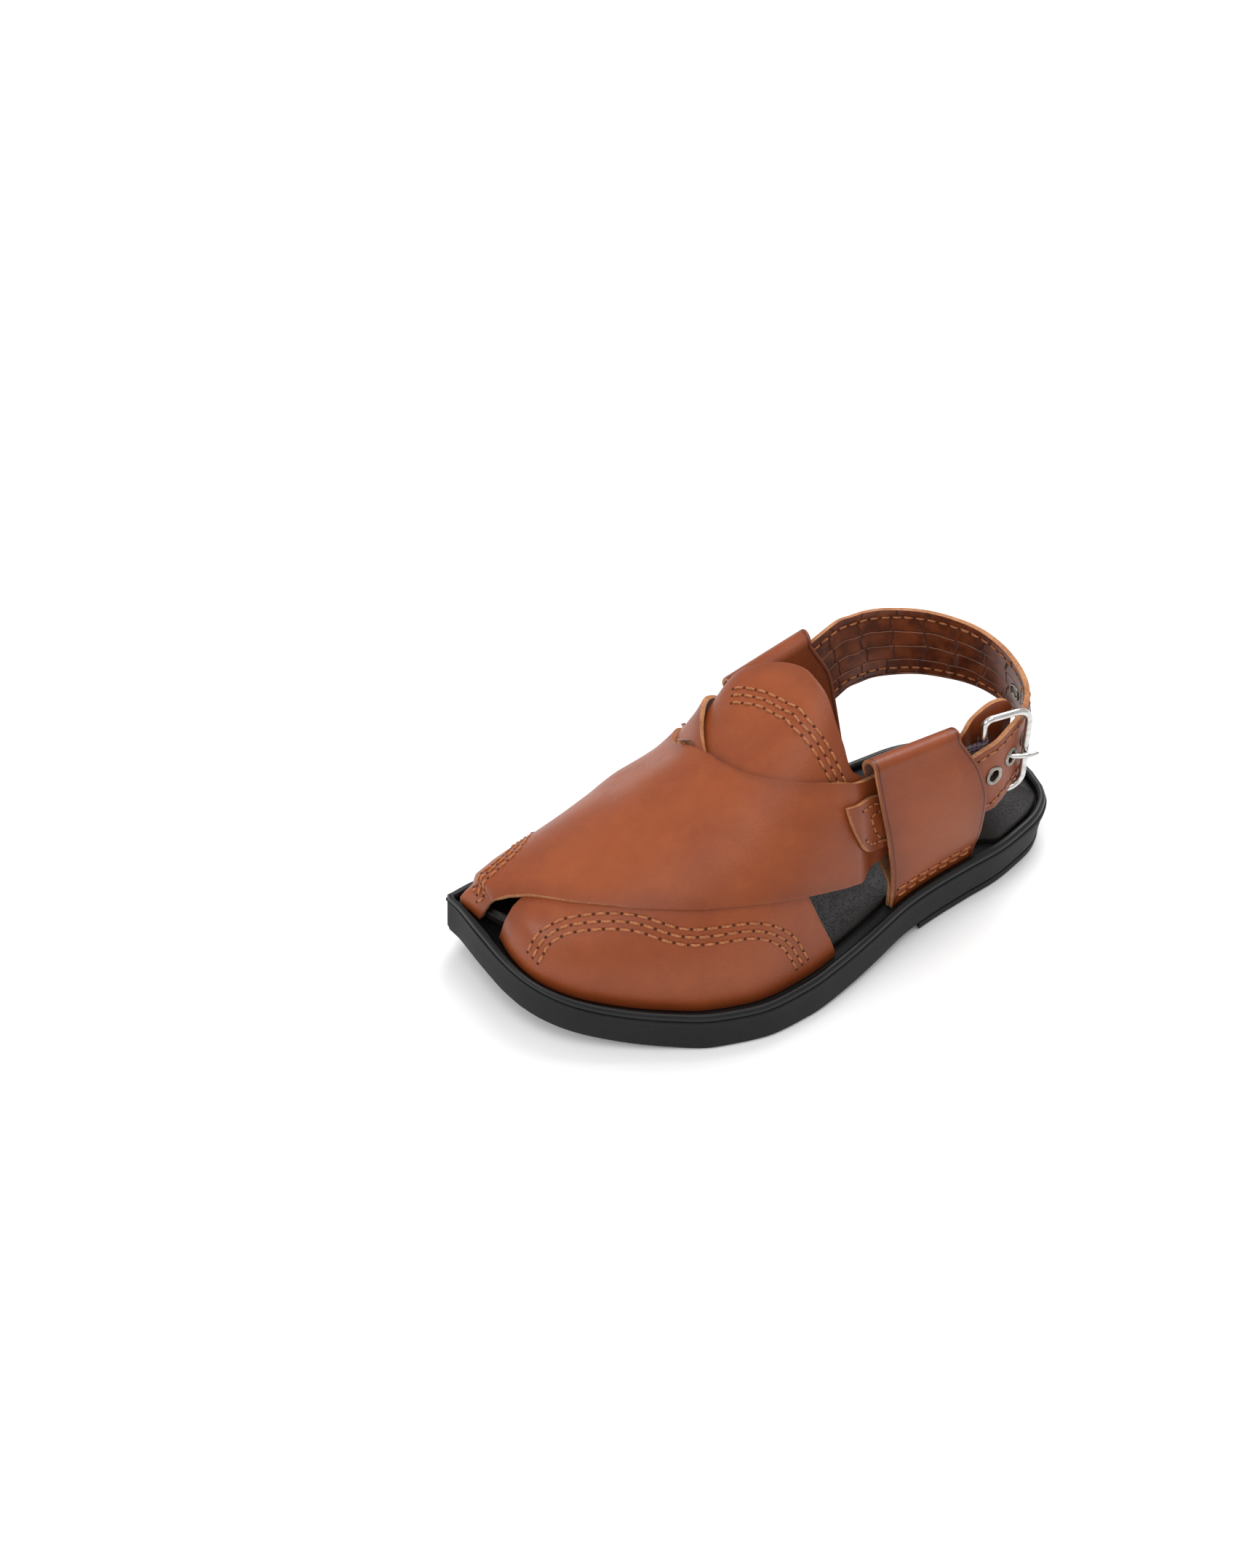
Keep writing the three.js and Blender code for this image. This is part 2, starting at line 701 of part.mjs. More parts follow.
// Where the band on top comes down to the last: girth at the inner side, start and run along at the toe.
const STEP_END = { side: 0.1, toe: 0.955, run: 0.02 };

// Vamp bands
// One band: a front part over the toe, a tail to the side loop and a foot down to the feather line.
function vampBand({ front, top, back, throat, anchor, place }) {
  const frontEdge = curve(front, "along", "girth");
  const topEdge = curve(top, "along", "girth");
  const backEdge = curve(back, "along", "girth");
  const end = front[front.length - 1].along;
  const tail = spread(front[0].along, throat.along, 13);
  const nose = front.map(({ along }) => along).filter((along) => along > 0.9);
  const body = [...spread(throat.along, 0.88, 14), ...nose];
  const foot = back.map(({ along }) => along);
  const split = (along) => {
    const share = (along - throat.along) / (end - throat.along);
    return mix(throat.girth, (throat.girth + anchor) / 2, share);
  };
  return sheet([
    bandGrid(tail, (along) => spread(frontEdge(along), topEdge(along), 8), place),
    bandGrid(body, (along) => spread(frontEdge(along), split(along), 8), place),
    bandGrid(body, (along) => spread(split(along), anchor, 7), place),
    bandGrid(foot, (along) => spread(backEdge(along), anchor, 7), place),
  ]);
}

function makeUpper() {
  const under = vampBand({
    front: UNDER_FRONT,
    top: UNDER_TOP,
    back: UNDER_BACK,
    throat: UNDER_THROAT,
    anchor: 0,
    place: (along, girth, lift) => tailPoint(INNER, along, girth, lift),
  });
  // The band on top lies on the last again where the one below has ended.
  const over = vampBand({
    front: OVER_FRONT,
    top: OVER_TOP,
    back: OVER_BACK,
    throat: OVER_THROAT,
    anchor: 1,
    place: (along, girth, lift) => {
      const step = smooth((1 - girth) / STEP_END.side) * (1 - smooth((along - STEP_END.toe) / STEP_END.run));
      return tailPoint(OUTER, along, girth, lift + VAMP_STEP * step);
    },
  });
  const joined = solidOf(under).add(solidOf(over));
  const bodies = joined.decompose().sort((a, b) => b.volume() - a.volume());
  return geometryOfSolid(bodies[0]);
}

function makeTongue() {
  const backEdge = curve(TONGUE_BACK, "girth", "along");
  const girths = spread(TONGUE_BACK[0].girth, TONGUE_BACK[TONGUE_BACK.length - 1].girth, 16);
  const grid = girths.map((girth) =>
    spread(backEdge(girth), TONGUE_FRONT_ALONG, 8).map((along) => ({
      inner: lastPoint(along, girth, -TONGUE_DEPTH - LEATHER),
      outer: lastPoint(along, girth, -TONGUE_DEPTH),
    })),
  );
  return sheet([grid]);
}

// Heel strap
// Middle of the strap from the inner loop round the heel to the buckle: shares of the sole's length and width,
// height as a share of the loops' height, and lean outward in degrees.
const STRAP_PATH = table(["along", "across", "up", "lean"], [
  [0.29, -0.387, 0.892, 16],
  [0.244, -0.4, 0.896, 13],
  [0.204, -0.393, 0.888, 10],
  [0.163, -0.364, 0.885, 6],
  [0.125, -0.316, 0.877, 2],
  [0.089, -0.247, 0.867, -3],
  [0.065, -0.163, 0.851, -7],
  [0.055, -0.074, 0.833, -8],
  [0.057, 0.005, 0.812, -6],
  [0.069, 0.065, 0.784, -4],
  [0.0885, 0.108, 0.757, -2],
  [0.115, 0.146, 0.735, -3],
  [0.14, 0.177, 0.712, -5],
  [0.168, 0.199, 0.689, -9],
]);
// Where the strap is in the loops: position along, and its lower and upper edge.
const STRAP_INNER_END = table(["along", "low", "high"], [
  [0.397, 0.625, 0.945],
  [0.366, 0.645, 0.975],
  [0.336, 0.665, 1.005],
]);
const STRAP_OUTER_RUN = table(["along", "low", "high"], [
  [0.2, 0.49, 0.832],
  [0.25, 0.49, 0.852],
  [0.3, 0.495, 0.852],
]);
const STRAP_TIP = table(["along", "low", "high"], [
  [0.335, 0.066, 0.146],
  [0.362, 0.07, 0.156],
  [0.381, 0.08, 0.166],
  [0.404, 0.107, 0.179],
  [0.42, 0.142, 0.188],
  [0.427, 0.168, 0.1925],
  [0.431, 0.191, 0.1955],
]);
// Forward slant of the strap's rows inside the loops.
const STRAP_SLANT = 0.12;
const PIN_STATION = 11;

const strapCurve = new THREE.CatmullRomCurve3(
  STRAP_PATH.map((row) =>
    new THREE.Vector3(row.along * SOLE_LENGTH, row.across * SOLE_WIDTH, row.up * LOOP_HEIGHT)),
);
const strapLean = curve(STRAP_PATH.map((row, station) => ({ station, lean: row.lean })), "station", "lean");
const LAST_STATION = STRAP_PATH.length - 1;

// Middle, travel, outward and width directions of the strap at a station of its path.
function strapFrame(station) {
  const share = station / LAST_STATION;
  const middle = strapCurve.getPoint(share);
  const travel = strapCurve.getTangent(share);
  const level = travel.clone().cross(new THREE.Vector3(0, 0, 1)).normalize();
  const lean = THREE.MathUtils.degToRad(strapLean(station));
  const upright = level.clone().negate().cross(travel).normalize();
  upright.multiplyScalar(Math.sign(upright.z));
  const width = upright.multiplyScalar(Math.cos(lean)).addScaledVector(level, -Math.sin(lean));
  const out = travel.clone().cross(width).normalize().negate();
  return { middle, travel, width, out };
}

// Station of the path that lies a distance along it from another.
function stationFrom(start, distance) {
  let station = start;
  let left = Math.abs(distance);
  const step = 0.01;
  while (left > 0) {
    const next = station + step * Math.sign(distance);
    left -= strapFrame(station).middle.distanceTo(strapFrame(next).middle);
    station = next;
  }
  return station;
}

const EYELET_STATIONS = [1, 0, -1, -2, -3].map((count) => stationFrom(PIN_STATION, count * EYELET_PITCH));

// A ring about a frame's outward direction from a profile of [radius, height] points.
function ring({ middle, travel, width, out }, profile, segments) {
  const sections = range(segments).slice(1).map((share) => {
    const turn = 2 * Math.PI * share;
    const radial = travel.clone().multiplyScalar(Math.cos(turn)).addScaledVector(width, Math.sin(turn));
    return profile.map(([radius, height]) =>
      middle.clone().addScaledVector(radial, radius).addScaledVector(out, height));
  });
  return loft(sections, true);
}

function plug({ middle, travel, width, out }, radius, depth, segments) {
  const section = (height) =>
    range(segments).slice(1).map((share) => {
      const turn = 2 * Math.PI * share;
      return middle
        .clone()
        .addScaledVector(travel, radius * Math.cos(turn))
        .addScaledVector(width, radius * Math.sin(turn))
        .addScaledVector(out, height);
    });
  return loft([section(-depth), section(depth)]);
}

function makeEyelet(station) {
  const half = STRAP_THICKNESS / 2;
  const near = half + CLEARANCE;
  const top = near + EYELET_RAISED;
  const bore = EYELET_HOLE / 2;
  const tube = bore + EYELET_WALL;
  const flange = EYELET_OUTER / 2;
  const rear = flange - EYELET_RAISED;
  const profile = [
    [bore, -near - 0.2 * EYELET_RAISED],
    [bore, near + 0.4 * EYELET_RAISED],
    [tube, top],
    [flange - EYELET_WALL, top],
    [flange, near + 0.3 * EYELET_RAISED],
    [flange, near],
    [tube, near],
    [tube, -near],
    [rear, -near],
    [rear, -near - 0.6 * EYELET_RAISED],
    [tube, -near - 0.8 * EYELET_RAISED],
  ];
  return ring(strapFrame(station), profile, 12);
}

function makeHeelStrap() {
  const columns = 3;
  const run = (loop, rows) =>
    rows.map(({ along, low, high }) =>
      spread(low, high, columns).map((up) => {
        const x = (along + (up - mix(low, high, 0.5)) * STRAP_SLANT) * SOLE_LENGTH;
        return loop.within(x, up * LOOP_HEIGHT, STRAP_DEPTH);
      }),
    );
  const heel = spread(0, LAST_STATION, 28).map((station) => {
    const { middle, width } = strapFrame(station);
    return spread(-STRAP_WIDTH / 2, STRAP_WIDTH / 2, columns).map((shift) =>
      middle.clone().addScaledVector(width, shift));
  });
  const lift = VAMP_STEP + STRAP_TIP_GAP + STRAP_THICKNESS / 2;
  const tip = STRAP_TIP.map(({ along, low, high }) =>
    spread(low, high, columns).map((girth) => tailPoint(OUTER, along, girth, lift)));
  const grid = [
    ...run(innerLoop, STRAP_INNER_END),
    ...heel,
    ...run(outerLoop, STRAP_OUTER_RUN),
    ...tip,
  ];
  let strap = solidOf(bentSheet(grid, STRAP_THICKNESS));
  for (const station of EYELET_STATIONS) {
    const bore = EYELET_HOLE / 2 + EYELET_WALL + CLEARANCE;
    strap = strap.subtract(solidOf(plug(strapFrame(station), bore, STRAP_THICKNESS * 2, 16)));
  }
  return geometryOfSolid(strap);
}

// Buckle
const HINGE = new THREE.Vector3(0.1655 * SOLE_LENGTH, 0.1516 * SOLE_WIDTH, 0.738 * LOOP_HEIGHT);
const REAR_BAR = new THREE.Vector3(0.0865 * SOLE_LENGTH, 0.1435 * SOLE_WIDTH, 0.738 * LOOP_HEIGHT);

// A round wire along a path of points, closed or capped.
function wire(points, diameter, closed) {
  const up = new THREE.Vector3(0, 0, 1);
  const count = points.length;
  let side = new THREE.Vector3();
  const sections = points.map((point, i) => {
    const before = closed ? points[(i + count - 1) % count] : points[Math.max(i - 1, 0)];
    const after = closed ? points[(i + 1) % count] : points[Math.min(i + 1, count - 1)];
    const travel = after.clone().sub(before).normalize();
    if (i === 0) side = Math.abs(travel.z) > 0.9 ? new THREE.Vector3(0, 1, 0) : up.clone();
    side.addScaledVector(travel, -side.dot(travel)).normalize();
    const other = travel.clone().cross(side);
    return range(10).slice(1).map((share) => {
      const turn = 2 * Math.PI * share;
      return point
        .clone()
        .addScaledVector(side, (Math.cos(turn) * diameter) / 2)
        .addScaledVector(other, (Math.sin(turn) * diameter) / 2);
    });
  });
  return loft(sections, closed);
}

function makeBuckleFrame() {
  const along = REAR_BAR.clone().sub(HINGE);
  const length = along.length();
  along.normalize();
  const corner = (a, b, radius, from) =>
    [0, 0.25, 0.5, 0.75, 1].map((share) => {
      const turn = from + (Math.PI / 2) * share;
      return [a + radius * Math.cos(turn), b + radius * Math.sin(turn)];
    });
  const half = BUCKLE_HEIGHT / 2;
  const hinge = BUCKLE_CORNER / 2;
  const path = [
    ...corner(length - BUCKLE_CORNER, half - BUCKLE_CORNER, BUCKLE_CORNER, 0),
    ...corner(hinge, half - hinge, hinge, Math.PI / 2),
    ...corner(hinge, hinge - half, hinge, Math.PI),
    ...corner(length - BUCKLE_CORNER, BUCKLE_CORNER - half, BUCKLE_CORNER, Math.PI * 1.5),
  ];
  const points = path.map(([a, b]) => {
    const point = HINGE.clone().addScaledVector(along, a);
    point.z += BUCKLE_RAISE + b;
    return point;
  });
  const level = new THREE.Vector3(0, 0, 1).cross(along);
  const sections = points.map((point, i) => {
    const travel = points[(i + 1) % points.length].clone().sub(points[(i + points.length - 1) % points.length]);
    const inPlane = travel.normalize().cross(level);
    return range(10).slice(1).map((share) => {
      const turn = 2 * Math.PI * share;
      return point
        .clone()
        .addScaledVector(level, (Math.cos(turn) * WIRE) / 2)
        .addScaledVector(inPlane, (Math.sin(turn) * WIRE) / 2);
    });
  });
  return loft(sections, true);
}

const PIN_LOOP = WIRE / 2 + CLEARANCE + PIN_WIRE / 2;

function makeBucklePin() {
  const hook = [75, 35, -5, -45, -90].map((degrees) => {
    const turn = THREE.MathUtils.degToRad(degrees);
    return HINGE.clone().add(new THREE.Vector3(PIN_LOOP * Math.cos(turn), PIN_LOOP * Math.sin(turn), 0));
  });
  const { middle, travel, out } = strapFrame(PIN_STATION);
  const back = travel.clone();
  if (back.x > 0) back.negate();
  const through = (sign) =>
    middle.clone().addScaledVector(out, sign * STRAP_THICKNESS).addScaledVector(back, (sign * PIN_WIRE) / 2);
  const enter = through(-1);
  const leave = through(1);
  const over = REAR_BAR.clone().add(new THREE.Vector3(0, PIN_LOOP, 0));
  const tip = over.clone().add(new THREE.Vector3(-PIN_TIP, PIN_RISE, 0));
  const rest = [enter, leave, over, tip].map((point) => point.setZ(HINGE.z));
  return wire([...hook, ...rest], PIN_WIRE, false);
}

// A column of points from a low to a high edge: upright at a plan position, or behind the outer loop's face.
const upright = ({ x, y, low, high, lean }, columns) =>
  spread(low, high, columns).map((z) => new THREE.Vector3(x, y - lean * (z - HINGE.z), z));
const behindFace = ({ x, low, high }, depth, columns) =>
  spread(low, high, columns).map((z) => outerLoop.within(x, z, depth));

// The web's tail in the loop and its neck before the hinge: shares of the sole's length and width.
const WEB_TAIL = [0.2545, 0.229, 0.2087];
const WEB_NECK = { along: 0.1832, across: 0.1758, lean: 0.08 };

function makeBuckleWeb() {
  const radius = WIRE / 2 + CLEARANCE + WEB_THICKNESS / 2;
  const edges = { low: HINGE.z - WEB_WIDTH / 2, high: HINGE.z + WEB_WIDTH / 2 };
  const columns = 2;
  const turns = [90, 135, 180, 225, 270, 315].map((degrees) => {
    const turn = THREE.MathUtils.degToRad(degrees);
    return { x: HINGE.x + radius * Math.cos(turn), y: HINGE.y + radius * Math.sin(turn), lean: 0 };
  });
  const neck = { x: WEB_NECK.along * SOLE_LENGTH, y: WEB_NECK.across * SOLE_WIDTH, lean: WEB_NECK.lean };
  const rows = [
    ...WEB_TAIL.map((along) => behindFace({ x: along * SOLE_LENGTH, ...edges }, WEB_DEPTH, columns)),
    ...[neck, ...turns].map((place) => upright({ ...place, ...edges }, columns)),
  ];
  const slot = PIN_WIRE / 2 + CLEARANCE;
  const front = PIN_LOOP + PIN_WIRE / 2 + CLEARANCE;
  const reach = 1.5 * front;
  const gap = [-slot, slot].map((z) =>
    [[-reach, -reach], [front, -reach], [front, reach], [-reach, reach]].map(([x, y]) =>
      HINGE.clone().add(new THREE.Vector3(x, y, z))));
  const web = solidOf(bentSheet(rows, WEB_THICKNESS));
  return geometryOfSolid(web.subtract(solidOf(loft(gap))));
}

// The guard under the buckle, in the loop and behind it: shares of the sole's length and width, edges as shares
// of the loops' height, and lean to the foot per height.
const GUARD_TAIL = table(["along", "low", "high"], [
  [0.2494, 0.536, 0.858],
  [0.229, 0.521, 0.873],
  [0.2087, 0.513, 0.884],
]);
const GUARD = table(["along", "across", "low", "high", "lean"], [
  [0.1908, 0.1284, 0.505, 0.914, 0.12],
  [0.1756, 0.1053, 0.505, 0.951, 0.07],
  [0.1603, 0.0989, 0.505, 0.988, 0.05],
  [0.14, 0.0884, 0.505, 1.012, 0.03],
  [0.1196, 0.0768, 0.528, 1.009, 0],
  [0.1048, 0.0653, 0.582, 0.965, 0],
  [0.0987, 0.06, 0.6585, 0.888, 0],
]);

function makeBuckleStrap() {
  const columns = 4;
  const edges = ({ low, high }) => ({ low: low * LOOP_HEIGHT, high: high * LOOP_HEIGHT });
  const tail = GUARD_TAIL.map((row) =>
    behindFace({ x: row.along * SOLE_LENGTH, ...edges(row) }, GUARD_DEPTH, columns));
  const free = GUARD.map((row) => {
    const place = { x: row.along * SOLE_LENGTH, y: row.across * SOLE_WIDTH, lean: row.lean };
    return upright({ ...place, ...edges(row) }, columns);
  });
  return bentSheet([...tail, ...free], GUARD_THICKNESS);
}

const finish = (color, roughness, metalness = 0) =>
  new THREE.MeshStandardMaterial({ color, roughness, metalness });
const leather = finish(0x95502c, 0.5);
const footbed = finish(0x2a2220, 0.6);
const rubber = finish(0x1b1b1c, 0.7);
const gloss = finish(0x101011, 0.35);
const nickel = finish(0xc9ccd0, 0.2, 1);
const oldNickel = finish(0x77736c, 0.4, 1);
const webbing = finish(0x5b4a5e, 0.9);

const chappal = new THREE.Group();
chappal.position.set(-HEEL_CENTRE_ALONG, -HEEL_CENTRE_ACROSS, 0);
function addPiece(name, geometry, material) {
  const mesh = new THREE.Mesh(geometry, material);
  mesh.name = name;
  chappal.add(mesh);
}

addPiece("outsole", makeOutsole(), rubber);
addPiece("heel", makeHeel(), rubber);
addPiece("welt", makeWelt(), gloss);
addPiece("insole", makeInsole(), footbed);
addPiece("upper", makeUpper(), leather);
addPiece("tongue", makeTongue(), leather);
addPiece("side_loop_outer", makeSideLoop(outerLoop), leather);
addPiece("side_loop_inner", makeSideLoop(innerLoop), leather);
addPiece("heel_strap", makeHeelStrap(), leather);
addPiece("buckle_strap", makeBuckleStrap(), leather);
addPiece("buckle_frame", makeBuckleFrame(), nickel);
addPiece("buckle_pin", makeBucklePin(), nickel);
addPiece("buckle_web", makeBuckleWeb(), webbing);
EYELET_STATIONS.forEach((station, i) => addPiece("eyelet_" + (i + 1), makeEyelet(station), oldNickel));

export default chappal;
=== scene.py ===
"""A child's left peshawari chappal.

Crossed leather vamp bands over a tongue, side loops and a buckled heel strap on a black sole.

Shapes are worked out in millimetres on the sole's own axes: +X from the heel's end to the toe, +Y to the
outer side of the foot and +Z up. They are moved to the part's origin and made metres when a mesh takes
its points.
"""

import logging
import math
from dataclasses import dataclass
from enum import Enum
from typing import Callable, Sequence

import bpy
import numpy as np
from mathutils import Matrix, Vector


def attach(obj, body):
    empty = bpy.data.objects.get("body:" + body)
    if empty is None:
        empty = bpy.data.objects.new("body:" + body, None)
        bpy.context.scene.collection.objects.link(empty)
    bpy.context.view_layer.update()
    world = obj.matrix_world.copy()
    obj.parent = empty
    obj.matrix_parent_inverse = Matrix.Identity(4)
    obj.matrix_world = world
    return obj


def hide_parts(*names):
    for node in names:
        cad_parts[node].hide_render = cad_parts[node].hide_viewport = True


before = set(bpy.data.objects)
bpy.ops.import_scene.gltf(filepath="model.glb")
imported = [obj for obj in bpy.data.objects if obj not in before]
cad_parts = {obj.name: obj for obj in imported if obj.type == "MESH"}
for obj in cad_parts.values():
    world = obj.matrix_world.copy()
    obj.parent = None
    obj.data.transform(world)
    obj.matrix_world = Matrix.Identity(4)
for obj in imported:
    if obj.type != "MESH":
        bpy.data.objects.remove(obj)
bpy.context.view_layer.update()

logging.basicConfig(level=logging.INFO, format="%(name)s: %(message)s")
log = logging.getLogger("chappal")

Array = np.ndarray
MM_PER_M = 1000
Path = Sequence[tuple[float, float]]


class Side(Enum):
    """Side of the foot."""

    OUTER = 1
    INNER = -1


def blend(a: Array | float, b: Array | float, share: Array | float) -> Array:
    """The value a share of the way from a to b."""
    return a + (b - a) * share


def smooth(share: Array | float) -> Array:
    """Soft step from 0 to 1."""
    s = np.clip(share, 0.0, 1.0)
    return s * s * (3 - 2 * s)


def unit(vectors: Array) -> Array:
    """The vectors at length one."""
    return vectors / np.maximum(np.linalg.norm(vectors, axis=-1, keepdims=True), 1e-12)


def stack(x: Array, y: Array, z: Array) -> Array:
    """Points from three arrays of coordinates that fit each other."""
    return np.stack(np.broadcast_arrays(x, y, z), axis=-1).astype(float)


class Pchip:
    """Shape-preserving cubic through points."""

    def __init__(self, xs: Array, ys: Array) -> None:
        """Works out the tangents.

        Args:
            xs: rising positions.
            ys: values there.
        """
        self.xs, self.ys = np.asarray(xs, float), np.asarray(ys, float)
        self.steps = np.diff(self.xs)
        slopes = np.diff(self.ys) / self.steps
        before = 2 * self.steps[1:] + self.steps[:-1]
        after = self.steps[1:] + 2 * self.steps[:-1]
        same = slopes[:-1] * slopes[1:] > 0
        left = np.where(same, slopes[:-1], 1.0)
        right = np.where(same, slopes[1:], 1.0)
        inner = np.where(same, (before + after) / (before / left + after / right), 0.0)
        self.tangents = np.concatenate([slopes[:1], inner, slopes[-1:]])

    def __call__(self, value: Array | float) -> Array:
        """The curve's value, held at its ends."""
        at = np.clip(value, self.xs[0], self.xs[-1])
        i = np.clip(np.searchsorted(self.xs, at) - 1, 0, len(self.xs) - 2)
        h = self.steps[i]
        s = (at - self.xs[i]) / h
        start, end = self.ys[i], self.ys[i + 1]
        bend = self.tangents[i] * (1 - s) - self.tangents[i + 1] * s
        return start * (1 + 2 * s) * (1 - s) ** 2 + end * s * s * (3 - 2 * s) + h * s * (1 - s) * bend


@dataclass(frozen=True)
class Table:
    """Rows of named columns."""

    columns: str
    rows: tuple[tuple[float, ...], ...]

    def column(self, name: str) -> Array:
        """All values of one column."""
        place = self.columns.split().index(name)
        return np.array([row[place] for row in self.rows])

    def curve(self, x: str, y: str) -> Pchip:
        """One column as a smooth function of another."""
        return Pchip(self.column(x), self.column(y))

    def pairs(self, x: str, y: str) -> Array:
        """Two columns as rows of pairs."""
        return np.stack([self.column(x), self.column(y)], axis=1)


# Sole outline: both edges as shares of the width
OUTLINE = Table("along outer inner", (
    (0.0, 0.0, -0.075), (0.006, 0.045, -0.142), (0.02, 0.09, -0.2), (0.04, 0.131, -0.247),
    (0.076, 0.177, -0.305), (0.126, 0.226, -0.345), (0.192, 0.268, -0.361), (0.263, 0.316, -0.342),
    (0.318, 0.362, -0.322), (0.384, 0.435, -0.3), (0.455, 0.508, -0.318), (0.525, 0.566, -0.363),
    (0.606, 0.6, -0.4), (0.677, 0.589, -0.4), (0.747, 0.547, -0.363), (0.818, 0.489, -0.305),
    (0.879, 0.421, -0.247), (0.914, 0.358, -0.214), (0.939, 0.289, -0.189), (0.96, 0.195, -0.168),
    (0.978, 0.063, -0.147), (0.992, -0.063, -0.13), (1.0, -0.105, -0.121),
))
# Rise of the underside, arch over the heel lift, and top as shares of the heel's and the toe's top height
PROFILE = Table("along rise arch heel_top toe_top", (
    (0.0, 0, 1, 1, 0), (0.28, 0, 1, 0.986, 0), (0.36, 0, 0.75, 0.945, 0), (0.42, 0, 0.4, 0.89, 0),
    (0.52, 0, 0, 0.8, 0), (0.6, 0, 0, 0.758, 0), (0.69, 0, 0, 0.62, 0.104), (0.78, 0.19, 0, 0.36, 0.339),
    (0.87, 0.5, 0, 0.16, 0.598), (0.94, 0.76, 0, 0.05, 0.824), (1.0, 1, 0, 0, 1),
))
# The last: height, lean of its ridge inward, fullness of its section and bulge of its inner shoulder
LAST_ROWS = Table("along height lean fullness bulge", (
    (0.1, 1.14, -0.105, 2.6, 0.04), (0.25, 1.14, -0.115, 2.6, 0.04), (0.33, 1.12, -0.135, 2.6, 0.045),
    (0.4, 1.1, -0.15, 2.5, 0.05), (0.45, 1.052, -0.135, 2.5, 0.065), (0.5, 0.973, -0.115, 2.5, 0.079),
    (0.57, 0.845, -0.075, 2.45, 0.02), (0.6, 0.797, -0.059, 2.43, -0.014), (0.63, 0.752, -0.045, 2.4, -0.03),
    (0.7, 0.648, -0.02, 2.35, -0.026),
    (0.78, 0.52, 0, 2.3, 0), (0.85, 0.412, 0, 2.4, 0), (0.9, 0.333, 0, 2.5, 0), (0.94, 0.255, 0, 2.5, 0),
    (0.97, 0.181, 0, 2.4, 0), (0.985, 0.127, 0, 2.3, 0), (1.0, 0.05, 0, 2.2, 0),
))
# Edges of the vamp bands on the last: along, and girth from 0 at the outer side to 1 at the inner side
OVER_FRONT = Table("along girth", (
    (0.3, 0.058), (0.36, 0.046), (0.43, 0.07), (0.516, 0.121), (0.611, 0.194), (0.695, 0.247),
    (0.772, 0.309), (0.849, 0.386), (0.88, 0.428), (0.906, 0.456), (0.93, 0.464), (0.947, 0.449),
    (0.965, 0.39), (0.978, 0.311), (0.984, 0.159), (0.987, 0.0),
))
OVER_TOP = Table("along girth", (
    (0.3, 0.19), (0.372, 0.192), (0.426, 0.235), (0.474, 0.289), (0.516, 0.35), (0.552, 0.418),
    (0.576, 0.4806), (0.591, 0.526), (0.602, 0.5786), (0.6075, 0.6353), (0.61, 0.66),
))
OVER_BACK = Table("along girth", (
    (0.61, 0.66), (0.6, 0.715), (0.575, 0.785), (0.54, 0.855), (0.5, 0.92), (0.47, 0.97), (0.45, 1),
))
UNDER_FRONT = Table("along girth", (
    (0.4, 0.915), (0.5, 0.86), (0.6, 0.78), (0.7, 0.68), (0.8, 0.575), (0.87, 0.51), (0.91, 0.46),
    (0.93, 0.416), (0.95, 0.303), (0.962, 0.17), (0.972, 0.0),
))
UNDER_TOP = Table("along girth", (
    (0.4, 0.81), (0.45, 0.805), (0.5, 0.785), (0.53, 0.742), (0.55, 0.698), (0.565, 0.652), (0.577, 0.612),
    (0.586, 0.573), (0.592, 0.536), (0.6, 0.49),
))
UNDER_BACK = Table("along girth", (
    (0.6, 0.49), (0.588, 0.4), (0.565, 0.3), (0.535, 0.2), (0.504, 0.102), (0.486, 0.051), (0.467, 0.012),
    (0.461, 0),
))
TONGUE_BACK = Table("girth along", (
    (0.195, 0.372), (0.208, 0.382), (0.222, 0.391), (0.247, 0.3965), (0.275, 0.3985), (0.338, 0.405),
    (0.413, 0.4085), (0.4685, 0.414), (0.513, 0.4195), (0.552, 0.4315), (0.59, 0.45), (0.62, 0.471),
    (0.655, 0.492), (0.7, 0.515),
))
# Faces of the side loops from foot to fold
OUTER_LOOP = Table("share rear_along rear_across front_along front_across rear_up front_up", (
    (0.0, 0.177, 0.212, 0.343, 0.336, 0, 0), (0.2, 0.171, 0.229, 0.342, 0.327, 0.194, 0.194),
    (0.5, 0.168, 0.235, 0.349, 0.308, 0.485, 0.485), (0.75, 0.181, 0.227, 0.359, 0.284, 0.727, 0.727),
    (1.0, 0.214, 0.197, 0.368, 0.256, 0.97, 0.97),
))
INNER_LOOP = Table("share rear_along rear_across front_along front_across rear_up front_up", (
    (0.0, 0.305, -0.28, 0.438, -0.268, 0, 0), (0.25, 0.31, -0.325, 0.453, -0.305, 0.25, 0.219),
    (0.5, 0.3155, -0.365, 0.468, -0.345, 0.515, 0.439), (0.75, 0.325, -0.4, 0.4835, -0.37, 0.785, 0.658),
    (1.0, 0.36, -0.418, 0.499, -0.379, 1.05, 0.877),
))
# The web's and the guard's places in the outer loop and behind the buckle
WEB_TAIL = (0.2545, 0.229, 0.2087)
WEB_NECK = (0.1832, 0.1758, 0.08)
GUARD_TAIL = Table("along low high", ((0.2494, 0.536, 0.858), (0.229, 0.521, 0.873), (0.2087, 0.513, 0.884)))
GUARD = Table("along across low high lean", (
    (0.1908, 0.1284, 0.505, 0.914, 0.12), (0.1756, 0.1053, 0.505, 0.951, 0.07),
    (0.1603, 0.0989, 0.505, 0.988, 0.05),
    (0.14, 0.0884, 0.505, 1.012, 0.03), (0.1196, 0.0768, 0.528, 1.009, 0), (0.1048, 0.0653, 0.582, 0.965, 0),
    (0.0987, 0.06, 0.6585, 0.888, 0),
))
